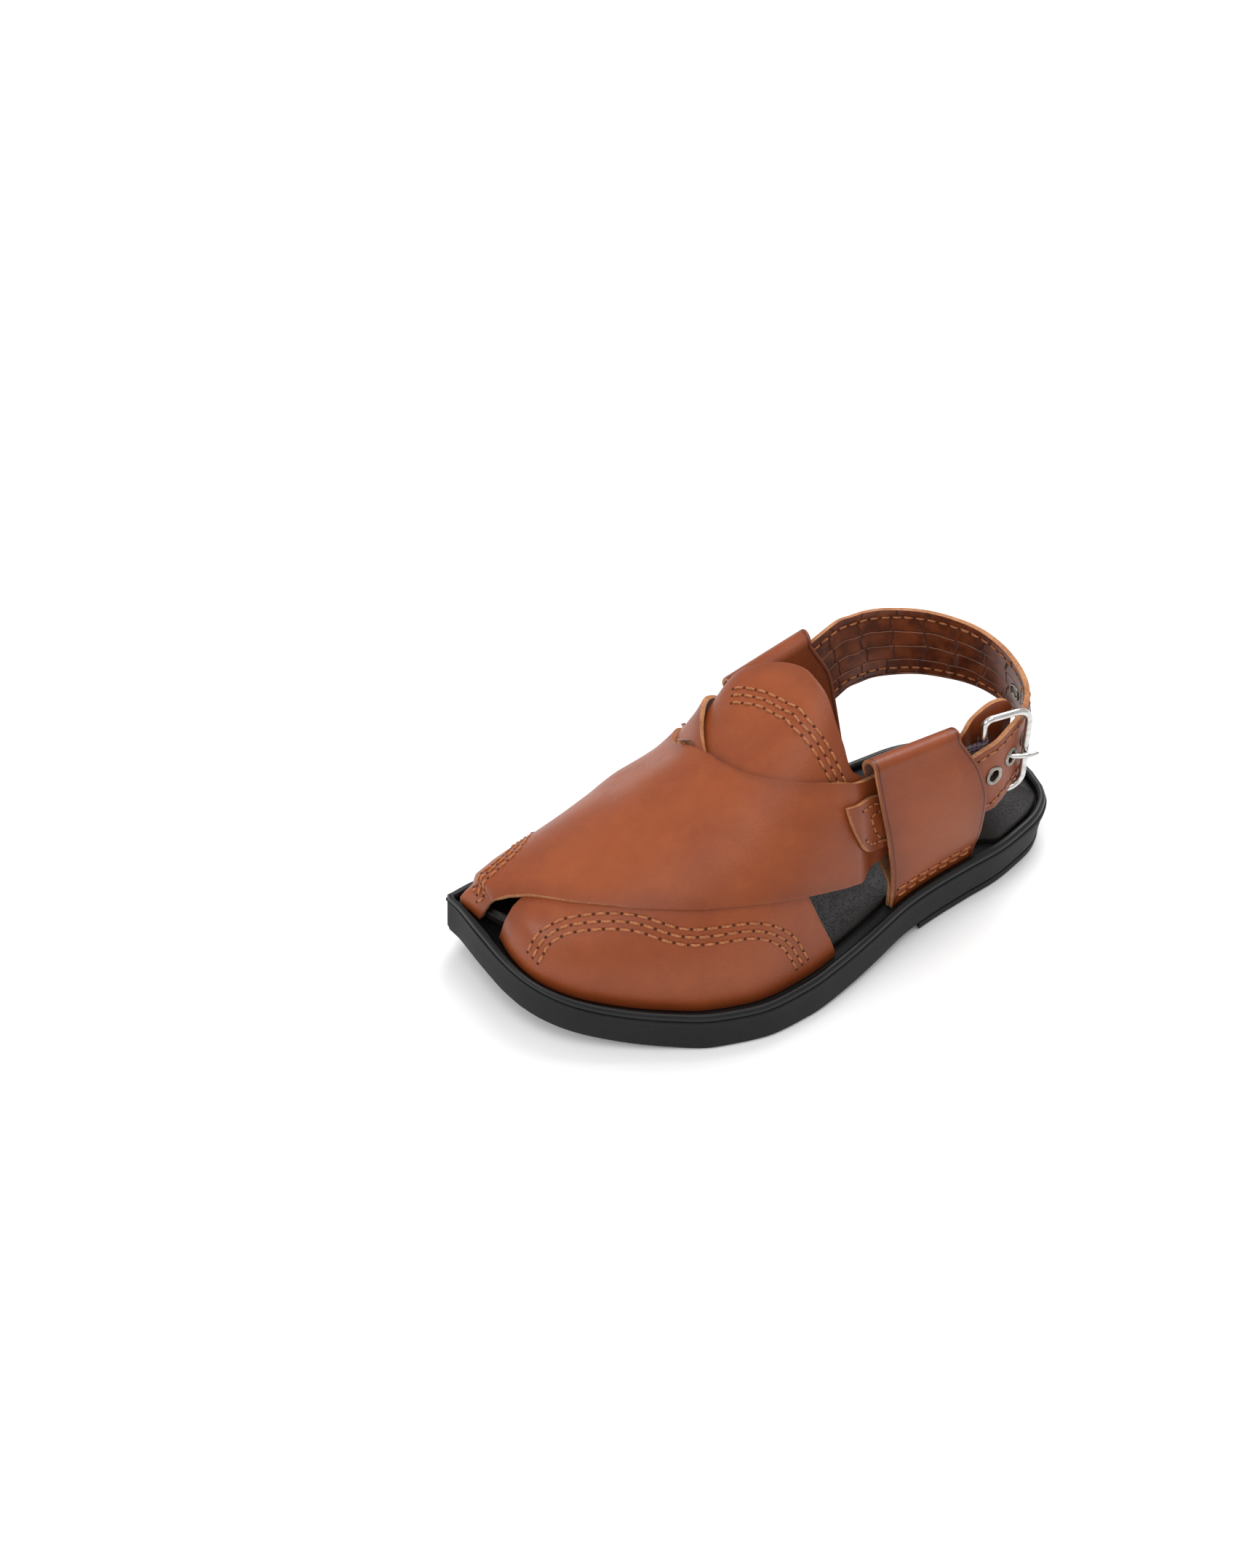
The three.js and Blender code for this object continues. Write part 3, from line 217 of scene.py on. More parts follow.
# Middle of the heel strap, its lean outward in degrees, and its ends in the loops and on the vamp
STRAP_PATH = Table("along across up lean", (
    (0.29, -0.387, 0.892, 16), (0.244, -0.4, 0.896, 13), (0.204, -0.393, 0.888, 10),
    (0.163, -0.364, 0.885, 6), (0.125, -0.316, 0.877, 2), (0.089, -0.247, 0.867, -3),
    (0.065, -0.163, 0.851, -7), (0.055, -0.074, 0.833, -8), (0.057, 0.005, 0.812, -6),
    (0.069, 0.065, 0.784, -4), (0.0885, 0.108, 0.757, -2), (0.115, 0.146, 0.735, -3),
    (0.14, 0.177, 0.712, -5), (0.168, 0.199, 0.689, -9),
))
STRAP_INNER_END = Table("along low high", (
    (0.397, 0.625, 0.945), (0.366, 0.645, 0.975), (0.336, 0.665, 1.005),
))
STRAP_OUTER_RUN = Table("along low high", ((0.2, 0.49, 0.832), (0.25, 0.49, 0.852), (0.3, 0.495, 0.852)))
STRAP_TIP = Table("along low high", (
    (0.335, 0.066, 0.146), (0.362, 0.07, 0.156), (0.381, 0.08, 0.166), (0.404, 0.107, 0.179),
    (0.42, 0.142, 0.188), (0.427, 0.168, 0.1925), (0.431, 0.191, 0.1955),
))


@dataclass(frozen=True)
class Sizes:
    """Driving dimensions in millimetres."""

    length: float = 196.5
    width: float = 95.0
    heel_along: float = 29.0
    heel_across: float = -4.5
    heel_length: float = 55.0
    heel_lift: float = 2.4
    heel_top: float = 14.5
    toe_rise: float = 8.4
    toe_top: float = 21.2
    clearance: float = 0.3
    rim: float = 5.2
    bead: float = 2.9
    bead_height: float = 2.0
    chamfer: float = 0.9
    lip: float = 0.5
    lip_height: float = 1.5
    undercut: float = 1.7
    insole: float = 2.0
    insole_dome: float = 1.0
    instep: float = 65.0
    leather: float = 1.7
    step: float = 1.5
    tongue_depth: float = 2.7
    strap: float = 23.6
    strap_wall: float = 1.6
    tip_gap: float = 0.4
    wire: float = 2.2
    buckle_height: float = 31.4
    buckle_raise: float = 1.7
    buckle_corner: float = 5.0
    pin: float = 1.8
    web: float = 0.7
    web_width: float = 20.0
    guard: float = 1.4
    loop_height: float = 65.3
    loop_outer: float = 1.5
    loop_inner: float = 1.2
    loop_gap: float = 5.4
    loop_ease: float = 1.1
    loop_foot_inset: float = 4.4
    eyelet: float = 6.6
    eyelet_hole: float = 3.8
    eyelet_wall: float = 0.4
    eyelet_pitch: float = 8.6


SIZE = Sizes()


class SoleShape:
    """Outline and heights of the sole."""

    spine: tuple[float, float] = (28 / SIZE.length, 0.916)

    def __init__(self) -> None:
        """Makes the curves of the outline and the profile."""
        outer, inner = OUTLINE.curve("along", "outer"), OUTLINE.curve("along", "inner")
        self.edges = {Side.OUTER: outer, Side.INNER: inner}
        self.rise = PROFILE.curve("along", "rise")
        self.arch = PROFILE.curve("along", "arch")
        self.heel_top = PROFILE.curve("along", "heel_top")
        self.toe_top = PROFILE.curve("along", "toe_top")

    def top(self, along: Array) -> Array:
        """Height of the sole's top."""
        return self.heel_top(along) * SIZE.heel_top + self.toe_top(along) * SIZE.toe_top

    def bottom(self, along: Array) -> Array:
        """Height of the sole's underside, above the heel block too."""
        return self.arch(along) * (SIZE.heel_lift + SIZE.clearance) + self.rise(along) * SIZE.toe_rise

    def edge(self, side: Side, along: Array, inward: Array | float = 0.0) -> tuple[Array, Array]:
        """A point of the sole's edge.

        Args:
            side: side of the foot.
            along: share of the length.
            inward: distance that the point is moved towards the middle.

        Returns:
            Its x and y.
        """
        along = np.asarray(along, float)
        x = along * SIZE.length
        y = self.edges[side](along) * SIZE.width
        centre = np.clip(along, *self.spine)
        to_x = centre * SIZE.length - x
        to_y = (self.edges[Side.OUTER](centre) + self.edges[Side.INNER](centre)) / 2 * SIZE.width - y
        reach = inward / np.hypot(to_x, to_y)
        return x + to_x * reach, y + to_y * reach


SOLE = SoleShape()


class Last:
    """The form of the foot that the vamp lies on."""

    shoulder: tuple[float, float] = (0.5, 0.84)
    shoulder_across: float = -0.72
    shoulder_up: float = 0.69
    step: float = 2e-3
    ends: tuple[float, float] = (0.1, 0.992)
    feet: tuple[float, float] = (0.004, 0.996)

    def __init__(self) -> None:
        """Makes the curves of the height, the lean, the fullness and the bulge."""
        self.height = LAST_ROWS.curve("along", "height")
        self.lean = LAST_ROWS.curve("along", "lean")
        self.fullness = LAST_ROWS.curve("along", "fullness")
        self.bulge = LAST_ROWS.curve("along", "bulge")

    def surface(self, along: Array, girth: Array) -> Array:
        """Points of the bare last."""
        outer_x, outer_y = SOLE.edge(Side.OUTER, along, SIZE.rim)
        inner_x, inner_y = SOLE.edge(Side.INNER, along, SIZE.rim)
        power = 2 / self.fullness(along)
        cosine = np.cos(np.pi * girth)
        across = 0.5 * (1 - np.sign(cosine) * np.abs(cosine) ** power)
        up = np.abs(np.sin(np.pi * girth)) ** power
        start, end = self.shoulder
        over = np.clip((girth - start) / (end - start), 0.0, 1.0)
        bulge = self.bulge(along) * SIZE.width * np.sin(np.pi * over) ** 2
        leant = self.lean(along) * SIZE.width * up
        raised = self.height(along) * SIZE.instep * up
        y = blend(outer_y, inner_y, across) + leant + self.shoulder_across * bulge
        z = SOLE.top(along) + SIZE.clearance + raised + self.shoulder_up * bulge
        return stack(blend(outer_x, inner_x, across), y, z)

    def point(self, along: Array, girth: Array, lift: Array | float) -> Array:
        """Points at a height over the last, along its normals."""
        step = self.step
        u = np.clip(along, self.ends[0] + step, self.ends[1])
        t = np.clip(girth, *self.feet)
        lengthwise = self.surface(u + step, t) - self.surface(u - step, t)
        girthwise = self.surface(u, t + step) - self.surface(u, t - step)
        normal = unit(np.cross(girthwise, lengthwise))
        return self.surface(along, girth) + normal * np.asarray(lift)[..., None]


LAST = Last()


class LoopFace:
    """Outer face of a folded side loop, by length from its rear to its front edge and share of its height."""

    foot_share: float = 0.25
    step: float = 0.02
    rounds: int = 8

    def __init__(self, rows: Table, side: Side, cutback: float) -> None:
        """Makes the curves of the two edges.

        Args:
            rows: the loop's table.
            side: side of the foot.
            cutback: share of the length by which the rear of its inner wall is cut back.
        """
        names = ("rear_along", "rear_across", "front_along", "front_across", "rear_up", "front_up")
        self.curves = {name: rows.curve("share", name) for name in names}
        self.side = side
        self.cutback = cutback

    def between(self, what: str, length: Array, share: Array) -> Array:
        """A column's value between the rear and the front edge."""
        return blend(self.curves["rear_" + what](share), self.curves["front_" + what](share), length)

    def face(self, length: Array, share: Array) -> Array:
        """Points of the face."""
        along = self.between("along", length, share)
        foot = SOLE.top(along) + SIZE.clearance
        edge = SOLE.edge(self.side, along, SIZE.loop_foot_inset)[1]
        leaning = self.between("across", length, share) * SIZE.width
        across = blend(edge, leaning, smooth(np.asarray(share) / self.foot_share))
        up = blend(foot, SIZE.loop_height, self.between("up", length, share))
        return stack(along * SIZE.length, across, up)

    def inward(self, length: Array, share: Array) -> Array:
        """Directions from the face towards the foot."""
        step = self.step
        low = np.minimum(share, 1 - step)
        lengthwise = self.face(length + step, low) - self.face(length - step, low)
        upward = self.face(length, low + step) - self.face(length, np.maximum(low - step, 0))
        normal = unit(np.cross(lengthwise, upward))
        return normal * (-np.sign(normal[..., 1:2]) * self.side.value)

    def within(self, x: Array, z: Array, depth: Array | float) -> Array:
        """Points at an x and a z, a depth behind the face."""
        x, z, depth = np.broadcast_arrays(*(np.asarray(value, float) for value in (x, z, depth)))
        share = np.full(x.shape, 0.5)
        length = np.full(x.shape, 0.5)
        for _ in range(self.rounds):
            rear, front = self.curves["rear_along"](share), self.curves["front_along"](share)
            length = (x / SIZE.length - rear) / (front - rear)
            reached = self.face(length, share)[..., 2]
            share = np.clip(share + (z - reached) / (SIZE.loop_height - SIZE.heel_top), 0, 1)
        point = self.face(length, share)
        point[..., 2] = z
        return point + self.inward(length, share) * depth[..., None]


OUTER_FACE = LoopFace(OUTER_LOOP, Side.OUTER, 0.16)
INNER_FACE = LoopFace(INNER_LOOP, Side.INNER, 0.0)
LOOP_THICKNESS = SIZE.loop_outer + SIZE.loop_gap + SIZE.loop_inner
STRAP_DEPTH = SIZE.loop_outer + SIZE.loop_ease + SIZE.strap_wall / 2
WEB_DEPTH = STRAP_DEPTH + SIZE.strap_wall / 2 + 2 * SIZE.clearance + SIZE.web / 2
GUARD_DEPTH = LOOP_THICKNESS + 2 * SIZE.clearance + SIZE.guard / 2
TAIL_DEPTH = STRAP_DEPTH + SIZE.strap_wall / 2 + 2 * SIZE.clearance


def tail_point(side: Side, along: Array, girth: Array, lift: Array | float) -> Array:
    """Points of a band: on the last at its front, in its side loop's hollow at its rear.

    Args:
        side: side of the loop that the band's tail enters.
        along: share of the length.
        girth: share round the last.
        lift: height over the last.

    Returns:
        The points.
    """
    along, girth, lift = np.broadcast_arrays(*(np.asarray(values, float) for values in (along, girth, lift)))
    on_last = LAST.point(along, girth, lift)
    outer = side is Side.OUTER
    start, run = (0.415, 0.055) if outer else (0.565, 0.07)
    on_side = smooth(((0.5 - girth if outer else girth - 0.5) - 0.06) / 0.1)
    share = smooth((start - along) / run) * on_side
    face = OUTER_FACE if outer else INNER_FACE
    top = SIZE.step if outer else 0.0
    in_loop = face.within(on_last[..., 0], on_last[..., 2], TAIL_DEPTH + top - lift)
    return blend(on_last, in_loop, share[..., None])


def over_lift(along: Array, girth: Array) -> Array:
    """Height of the band on top over the last: it comes down to it at the inner side and at the toe."""
    return SIZE.step * smooth((1 - girth) / 0.1) * (1 - smooth((along - 0.955) / 0.02))


class Spline:
    """Centripetal curve through points, by share of its count of stretches."""

    def __init__(self, points: Array) -> None:
        """Keeps the points with one added beyond each end."""
        points = np.asarray(points, float)
        self.points = np.concatenate([[2 * points[0] - points[1]], points, [2 * points[-1] - points[-2]]])

    def __call__(self, share: Array) -> Array:
        """Points at shares from 0 to 1."""
        count = len(self.points) - 3
        at = np.clip(np.asarray(share, float), 0, 1) * count
        i = np.clip(np.floor(at).astype(int), 0, count - 1)
        weight = (at - i)[..., None]
        a, b, c, d = (self.points[i + k] for k in range(4))
        spans = ((a, b), (b, c), (c, d))
        gap = [np.maximum(np.sum((q - p) ** 2, axis=-1, keepdims=True) ** 0.25, 1e-6) for p, q in spans]
        first = ((b - a) / gap[0] - (c - a) / (gap[0] + gap[1]) + (c - b) / gap[1]) * gap[1]
        second = ((c - b) / gap[1] - (d - b) / (gap[1] + gap[2]) + (d - c) / gap[2]) * gap[1]
        square = -3 * b + 3 * c - 2 * first - second
        cube = 2 * b - 2 * c + first + second
        return b + first * weight + square * weight**2 + cube * weight**3


def resample(points: Array, count: int) -> Array:
    """Points evenly spaced along a smooth curve through the given ones."""
    spline = Spline(points)
    fine = spline(np.linspace(0, 1, 40 * len(points)))
    reach = np.concatenate([[0], np.cumsum(np.linalg.norm(np.diff(fine, axis=0), axis=1))])
    want = np.linspace(0, reach[-1], count)
    return np.stack([np.interp(want, reach, fine[:, k]) for k in range(fine.shape[1])], axis=1)


class StrapPath:
    """The heel strap's middle line with its directions."""

    pin_station: float = 11.0

    def __init__(self) -> None:
        """Makes the curve and the lean along it."""
        scale = (SIZE.length, SIZE.width, SIZE.loop_height)
        columns = [STRAP_PATH.column(name) * k for name, k in zip(("along", "across", "up"), scale)]
        self.curve = Spline(np.stack(columns, axis=1))
        self.last = len(STRAP_PATH.rows) - 1
        self.lean = Pchip(np.arange(self.last + 1), STRAP_PATH.column("lean"))

    def frame(self, station: Array | float) -> tuple[Array, Array, Array, Array]:
        """Middle, travel, width and outward directions at stations of the path."""
        share = np.asarray(station, float) / self.last
        middle = self.curve(share)
        travel = unit(self.curve(np.minimum(share + 1e-4, 1)) - self.curve(np.maximum(share - 1e-4, 0)))
        level = unit(np.cross(travel, [0.0, 0.0, 1.0]))
        lean = np.radians(self.lean(station))[..., None]
        rising = unit(np.cross(-level, travel))
        rising = rising * np.sign(rising[..., 2:])
        width = rising * np.cos(lean) - level * np.sin(lean)
        return middle, travel, width, -unit(np.cross(travel, width))

    def station_from(self, start: float, distance: float) -> float:
        """Station that lies a distance along the path from another."""
        stations = start + np.sign(distance) * np.arange(0, 1200) * 0.005
        points = self.frame(stations)[0]
        reach = np.concatenate([[0], np.cumsum(np.linalg.norm(np.diff(points, axis=0), axis=1))])
        return float(np.interp(abs(distance), reach, stations))


STRAP = StrapPath()
HINGE = np.array([0.1655 * SIZE.length, 0.1516 * SIZE.width, 0.738 * SIZE.loop_height])
REAR_BAR = np.array([0.0865 * SIZE.length, 0.1435 * SIZE.width, 0.738 * SIZE.loop_height])
EYELET_STATIONS = [
    STRAP.station_from(STRAP.pin_station, count * SIZE.eyelet_pitch) if count else STRAP.pin_station
    for count in (1, 0, -1, -2, -3)
]

# Rows of stitches on the tongue and on the strap's tip, as places along and round the last
TONGUE_STITCHES = (
    (0.523, 0.612), (0.5, 0.5694), (0.486, 0.5415), (0.4743, 0.508), (0.4595, 0.4668), (0.4499, 0.4117),
    (0.4337, 0.341), (0.4169, 0.264), (0.4095, 0.229), (0.405, 0.205),
)
TIP_STITCHES = (
    ((0.35, 0.127), (0.366, 0.13), (0.383, 0.135)),
    ((0.383, 0.135), (0.377, 0.112), (0.363, 0.086), (0.345, 0.072)),
)


class Value:
    """A number from a node, for sums in Python."""

    def __init__(self, look: "Look", socket: bpy.types.NodeSocket) -> None:
        """Keeps the node tree and the socket."""
        self.look, self.socket = look, socket

    def _sum(self, operation: str, other: "Value | float", swapped: bool = False) -> "Value":
        """Adds one Math node."""
        first, second = (other, self) if swapped else (self, other)
        node = self.look.node("ShaderNodeMath", {"operation": operation}, {0: first, 1: second})
        return Value(self.look, node.outputs[0])

    def __add__(self, other: "Value | float") -> "Value":
        """Sum."""
        return self._sum("ADD", other)

    def __radd__(self, other: float) -> "Value":
        """Sum, with a number first."""
        return self._sum("ADD", other, True)

    def __sub__(self, other: "Value | float") -> "Value":
        """Difference."""
        return self._sum("SUBTRACT", other)

    def __rsub__(self, other: float) -> "Value":
        """Difference, with a number first."""
        return self._sum("SUBTRACT", other, True)

    def __mul__(self, other: "Value | float") -> "Value":
        """Product."""
        return self._sum("MULTIPLY", other)

    def __rmul__(self, other: float) -> "Value":
        """Product, with a number first."""
        return self._sum("MULTIPLY", other, True)

    def __truediv__(self, other: "Value | float") -> "Value":
        """Ratio."""
        return self._sum("DIVIDE", other)

    def __rtruediv__(self, other: float) -> "Value":
        """Ratio, with a number first."""
        return self._sum("DIVIDE", other, True)

    def __pow__(self, other: float) -> "Value":
        """Power."""
        return self._sum("POWER", other)

    def __abs__(self) -> "Value":
        """Size without its sign."""
        return self._sum("ABSOLUTE", 0.0)

    def least(self, other: "Value | float") -> "Value":
        """The smaller of two."""
        return self._sum("MINIMUM", other)

    def most(self, other: "Value | float") -> "Value":
        """The larger of two."""
        return self._sum("MAXIMUM", other)

    def wave(self) -> "Value":
        """Sine."""
        return self._sum("SINE", 0.0)

    def between(self, low: float, high: float) -> "Value":
        """Soft step from 0 at low to 1 at high."""
        settings = {"interpolation_type": "SMOOTHSTEP"}
        node = self.look.node("ShaderNodeMapRange", settings, {0: self, 1: low, 2: high, 3: 0.0, 4: 1.0})
        return Value(self.look, node.outputs[0])


class Look:
    """One material and its node tree."""

    def __init__(self, name: str, roughness: float, metallic: float = 0.0, specular: float = 0.5) -> None:
        """Starts a material with one shader.

        Args:
            name: the material's name.
            roughness: the shader's roughness where nothing varies it.
            metallic: 1 for bare metal.
            specular: the shader's specular level.
        """
        self.material = bpy.data.materials.new(name)
        self.material.use_nodes = True
        self.tree = self.material.node_tree
        self.shader = self.tree.nodes["Principled BSDF"]
        self.set("Roughness", roughness)
        self.set("Metallic", metallic)
        self.set("Specular IOR Level", specular)

    def set(self, socket: str, value: float | tuple) -> None:
        """Sets a constant on the shader's own socket."""
        self.shader.inputs[socket].default_value = value

    def feed(self, socket: str, source: "Value | bpy.types.NodeSocket") -> None:
        """Links what varies over the surface to a socket of the shader."""
        link = source.socket if isinstance(source, Value) else source
        self.tree.links.new(link, self.shader.inputs[socket])

    def node(self, kind: str, settings: dict, inputs: dict) -> bpy.types.Node:
        """Adds a node.

        Args:
            kind: the node's type.
            settings: its settings, made first.
            inputs: values or links of its sockets, by name or number.

        Returns:
            The node.
        """
        made = self.tree.nodes.new(kind)
        for name, value in settings.items():
            setattr(made, name, value)
        for key, value in inputs.items():
            if isinstance(value, Value):
                self.tree.links.new(value.socket, made.inputs[key])
            elif isinstance(value, bpy.types.NodeSocket):
                self.tree.links.new(value, made.inputs[key])
            else:
                made.inputs[key].default_value = value
        return made

    def place(self) -> bpy.types.NodeSocket:
        """Object coordinates, in metres."""
        return self.node("ShaderNodeTexCoord", {}, {}).outputs["Object"]

    def chart(self, name: str) -> tuple[Value, Value, bpy.types.NodeSocket]:
        """A UV map's two values and the map itself."""
        made = self.node("ShaderNodeUVMap", {"uv_map": name}, {}).outputs[0]
        parts = self.node("ShaderNodeSeparateXYZ", {}, {0: made})
        return Value(self, parts.outputs[0]), Value(self, parts.outputs[1]), made

    def noise(
        self, vector: bpy.types.NodeSocket, scale: float, detail: float = 3.0, rough: float = 0.5
    ) -> Value:
        """Noise from 0 to 1."""
        inputs = {"Vector": vector, "Scale": scale, "Detail": detail, "Roughness": rough}
        return Value(self, self.node("ShaderNodeTexNoise", {}, inputs).outputs[0])

    def cells(self, vector: bpy.types.NodeSocket, scale: float, feature: str = "F1") -> Value:
        """Distance in a pattern of cells."""
        inputs = {"Vector": vector, "Scale": scale}
        made = self.node("ShaderNodeTexVoronoi", {"feature": feature}, inputs)
        return Value(self, made.outputs["Distance"])

    def mix(self, share: "Value | float", first: object, second: object) -> bpy.types.NodeSocket:
        """Colour between two colours or links."""
        made = self.node("ShaderNodeMix", {"data_type": "RGBA"}, {0: share})
        for index, colour in ((6, first), (7, second)):
            if isinstance(colour, bpy.types.NodeSocket):
                self.tree.links.new(colour, made.inputs[index])
            else:
                made.inputs[index].default_value = (*colour, 1.0)
        return made.outputs[2]

    def bump(self, height: Value, distance: float, strength: float = 1.0) -> None:
        """Relief on the shader from a height, at a depth in metres."""
        inputs = {"Strength": strength, "Distance": distance, "Height": height}
        self.feed("Normal", self.node("ShaderNodeBump", {}, inputs).outputs[0])


Colour = tuple[float, float, float]


@dataclass(frozen=True)
class TanLeather:
    """Smooth semi-gloss cognac leather with a fine grain, with painted shade that darkens it towards its
    edges.
    """

    crease: float = 0.0
    light: Colour = (0.262, 0.0585, 0.0135)
    middle: Colour = (0.205, 0.041, 0.009)
    dark: Colour = (0.08, 0.0155, 0.0045)
    roughness: float = 0.44

    def make(self) -> bpy.types.Material:
        """The material, with charts Surface in metres and Edge, the distance to an edge in metres."""
        look = Look("tan leather creased" if self.crease else "tan leather", self.roughness, specular=0.3)
        place = look.place()
        edge = look.chart("Edge")[0]
        patches = look.noise(place, 38, 4, 0.55).between(0.34, 0.68)
        clouds = look.noise(place, 160, 5, 0.6).between(0.3, 0.75)
        body = look.mix(patches * 0.7 + clouds * 0.3, self.middle, self.light)
        # Painted shade: the colour darkens towards each cut edge, from 7.5 millimetres in to the edge itself.
        painted_edge_shade = (1 - edge.between(0.0004, 0.0075)) * 0.26
        pores = look.cells(place, 1500).between(0.05, 0.5)
        if self.crease:
            # Painted shade: a dark line along the pressed crease, 1.1 millimetres in from the edge, standing
            # for the shade in its groove.
            line = 1 - abs(edge - self.crease).between(0.0001, 0.00045)
            painted_edge_shade = (painted_edge_shade + line * 0.85).least(1.0)
        body = look.mix(painted_edge_shade, body, self.dark)
        look.feed("Base Color", look.mix((1 - pores) * 0.16, body, self.dark))
        look.feed("Roughness", self.roughness - 0.05 + 0.09 * clouds + 0.1 * (1 - pores))
        creases = look.noise(place, 420, 4, 0.65)
        look.bump(pores * 0.45 + creases * 0.9 + look.noise(place, 90, 2) * 1.2, 0.00013, 0.55)
        look.set("Coat Weight", 0.06)
        look.set("Coat Roughness", 0.3)
        return look.material


@dataclass(frozen=True)
class CutEdge:
    """Raw cut edge of the leather: lighter, fibrous, with darker patches."""

    light: Colour = (0.5, 0.235, 0.11)
    dark: Colour = (0.25, 0.09, 0.035)

    def make(self) -> bpy.types.Material:
        """The material."""
        look = Look("cut edge", 0.72, specular=0.25)
        place = look.place()
        fibre = look.noise(place, 1100, 5, 0.7)
        patches = look.noise(place, 140, 3)
        tint = (fibre * 0.6 + patches * 0.5).between(0.32, 0.78)
        look.feed("Base Color", look.mix(tint, self.dark, self.light))
        look.bump(fibre, 0.00025, 0.7)
        return look.material


@dataclass(frozen=True)
class Suede:
    """Flesh side of the vamp leather."""

    light: Colour = (0.22, 0.09, 0.042)
    dark: Colour = (0.11, 0.04, 0.018)

    def make(self) -> bpy.types.Material:
        """The material."""
        look = Look("flesh side", 0.88, specular=0.15)
        place = look.place()
        nap = look.noise(place, 700, 6, 0.7)
        look.feed("Base Color", look.mix(nap.between(0.3, 0.7), self.dark, self.light))
        look.set("Sheen Weight", 0.25)
        look.set("Sheen Roughness", 0.5)
        look.bump(nap, 0.0003, 0.6)
        return look.material


@dataclass(frozen=True)
class ScaleLining:
    """Brown lining embossed with long cells: grooves across every ten millimetres, thin lines along."""

    light: Colour = (0.17, 0.041, 0.0125)
    dark: Colour = (0.07, 0.016, 0.006)
    line: Colour = (0.3, 0.11, 0.045)

    def make(self) -> bpy.types.Material:
        """The material, on the chart Surface in metres along and across."""
        look = Look("embossed lining", 0.36, specular=0.5)
        place = look.place()
        along, across, _ = look.chart("Surface")
        wander = look.noise(place, 120, 2)
        rank = (across / 0.0052 + 0.35 * wander)
        row = Value(look, look.node("ShaderNodeMath", {"operation": "FLOOR"}, {0: rank}).outputs[0])
        shift = (row * 2.4).wave() * 0.12
        column = along / 0.0105 + 0.5 * wander + shift
        cell = Value(look, look.node("ShaderNodeMath", {"operation": "FRACT"}, {0: column}).outputs[0])
        lane = Value(look, look.node("ShaderNodeMath", {"operation": "FRACT"}, {0: rank}).outputs[0])
        groove = (abs(cell - 0.5)).between(0.455, 0.5)
        seam = (abs(lane - 0.5)).between(0.44, 0.5)
        tone = look.noise(place, 210, 3).between(0.3, 0.7)
        body = look.mix(tone, self.dark, self.light)
        body = look.mix(seam * 0.55, body, self.line)
        look.feed("Base Color", look.mix(groove * 0.8, body, self.dark))
        look.feed("Roughness", 0.34 + groove * 0.3 + seam * 0.15)
        hills = 1 - groove.most(seam * 0.7)
        look.bump(hills + look.noise(place, 600, 4) * 0.15, 0.00045, 0.9)
        return look.material


@dataclass(frozen=True)
class Thread:
    """Waxed sewing thread, twisted."""

    light: Colour = (0.43, 0.155, 0.052)
    dark: Colour = (0.22, 0.066, 0.02)

    def make(self) -> bpy.types.Material:
        """The material."""
        look = Look("waxed thread", 0.55, specular=0.35)
        place = look.place()
        strand = look.noise(place, 1900, 2)
        look.feed("Base Color", look.mix(strand.between(0.3, 0.7), self.dark, self.light))
        look.bump(strand, 0.0002, 0.6)
        return look.material


@dataclass(frozen=True)
class NeedleHole:
    """Shadowed bottom of a needle hole."""

    colour: Colour = (0.045, 0.014, 0.007)
    rim: Colour = (0.1, 0.03, 0.014)

    def make(self) -> bpy.types.Material:
        """The material."""
        look = Look("needle hole", 0.85, specular=0.1)
        look.feed("Base Color", look.mix(look.noise(look.place(), 900, 2), self.colour, self.rim))
        return look.material


class RubberKind(Enum):
    """Rubber finishes of the sole."""

    WALL = "matt"
    BEAD = "gloss"


@dataclass(frozen=True)
class Rubber:
    """Black rubber: matt with a fine cast grain, or a moulded bead with a soft gloss."""

    kind: RubberKind
    light: Colour = (0.0105, 0.0108, 0.0118)
    dark: Colour = (0.0042, 0.0044, 0.005)

    def make(self) -> bpy.types.Material:
        """The material."""
        gloss = self.kind is RubberKind.BEAD
        rough = 0.32 if gloss else 0.6
        look = Look(self.kind.value + " rubber", rough, specular=0.3 if gloss else 0.22)
        place = look.place()
        patches = look.noise(place, 60, 4, 0.6)
        grain = look.noise(place, 1500, 3, 0.7)
        # The bead takes about half the wall's colours: partly its real glossy black, partly painted light,
        # with the matt wall kept lighter as a lit face.
        light = tuple(v * (0.55 if gloss else 1.0) for v in self.light)
        dark = tuple(v * (0.5 if gloss else 1.0) for v in self.dark)
        dust = patches * 0.6 + grain * 0.5
        look.feed("Base Color", look.mix(dust.between(0.3, 0.8), dark, light))
        look.feed("Roughness", rough - 0.06 + 0.16 * patches)
        look.bump(grain + patches * 0.8, 0.00006 if gloss else 0.00018, 0.6)
        return look.material


@dataclass(frozen=True)
class Footbed:
    """Very dark brown footbed cover with a fine grain and rubbed patches."""

    light: Colour = (0.013, 0.0095, 0.009)
    dark: Colour = (0.0055, 0.0038, 0.0036)

    def make(self) -> bpy.types.Material:
        """The material."""
        look = Look("footbed cover", 0.55, specular=0.18)
        place = look.place()
        rubbed = look.noise(place, 45, 5, 0.62).between(0.35, 0.7)
        pores = look.cells(place, 1300).between(0.05, 0.55)
        look.feed("Base Color", look.mix(rubbed * 0.8 + pores * 0.2, self.dark, self.light))
        look.feed("Roughness", 0.42 + 0.16 * rubbed)
        look.bump(pores * 0.7 + look.noise(place, 240, 4), 0.00016, 0.6)
        return look.material


class MetalKind(Enum):
    """Metal finishes of the buckle and the eyelets."""

    BRIGHT = "bright nickel"
    DULL = "dull nickel"


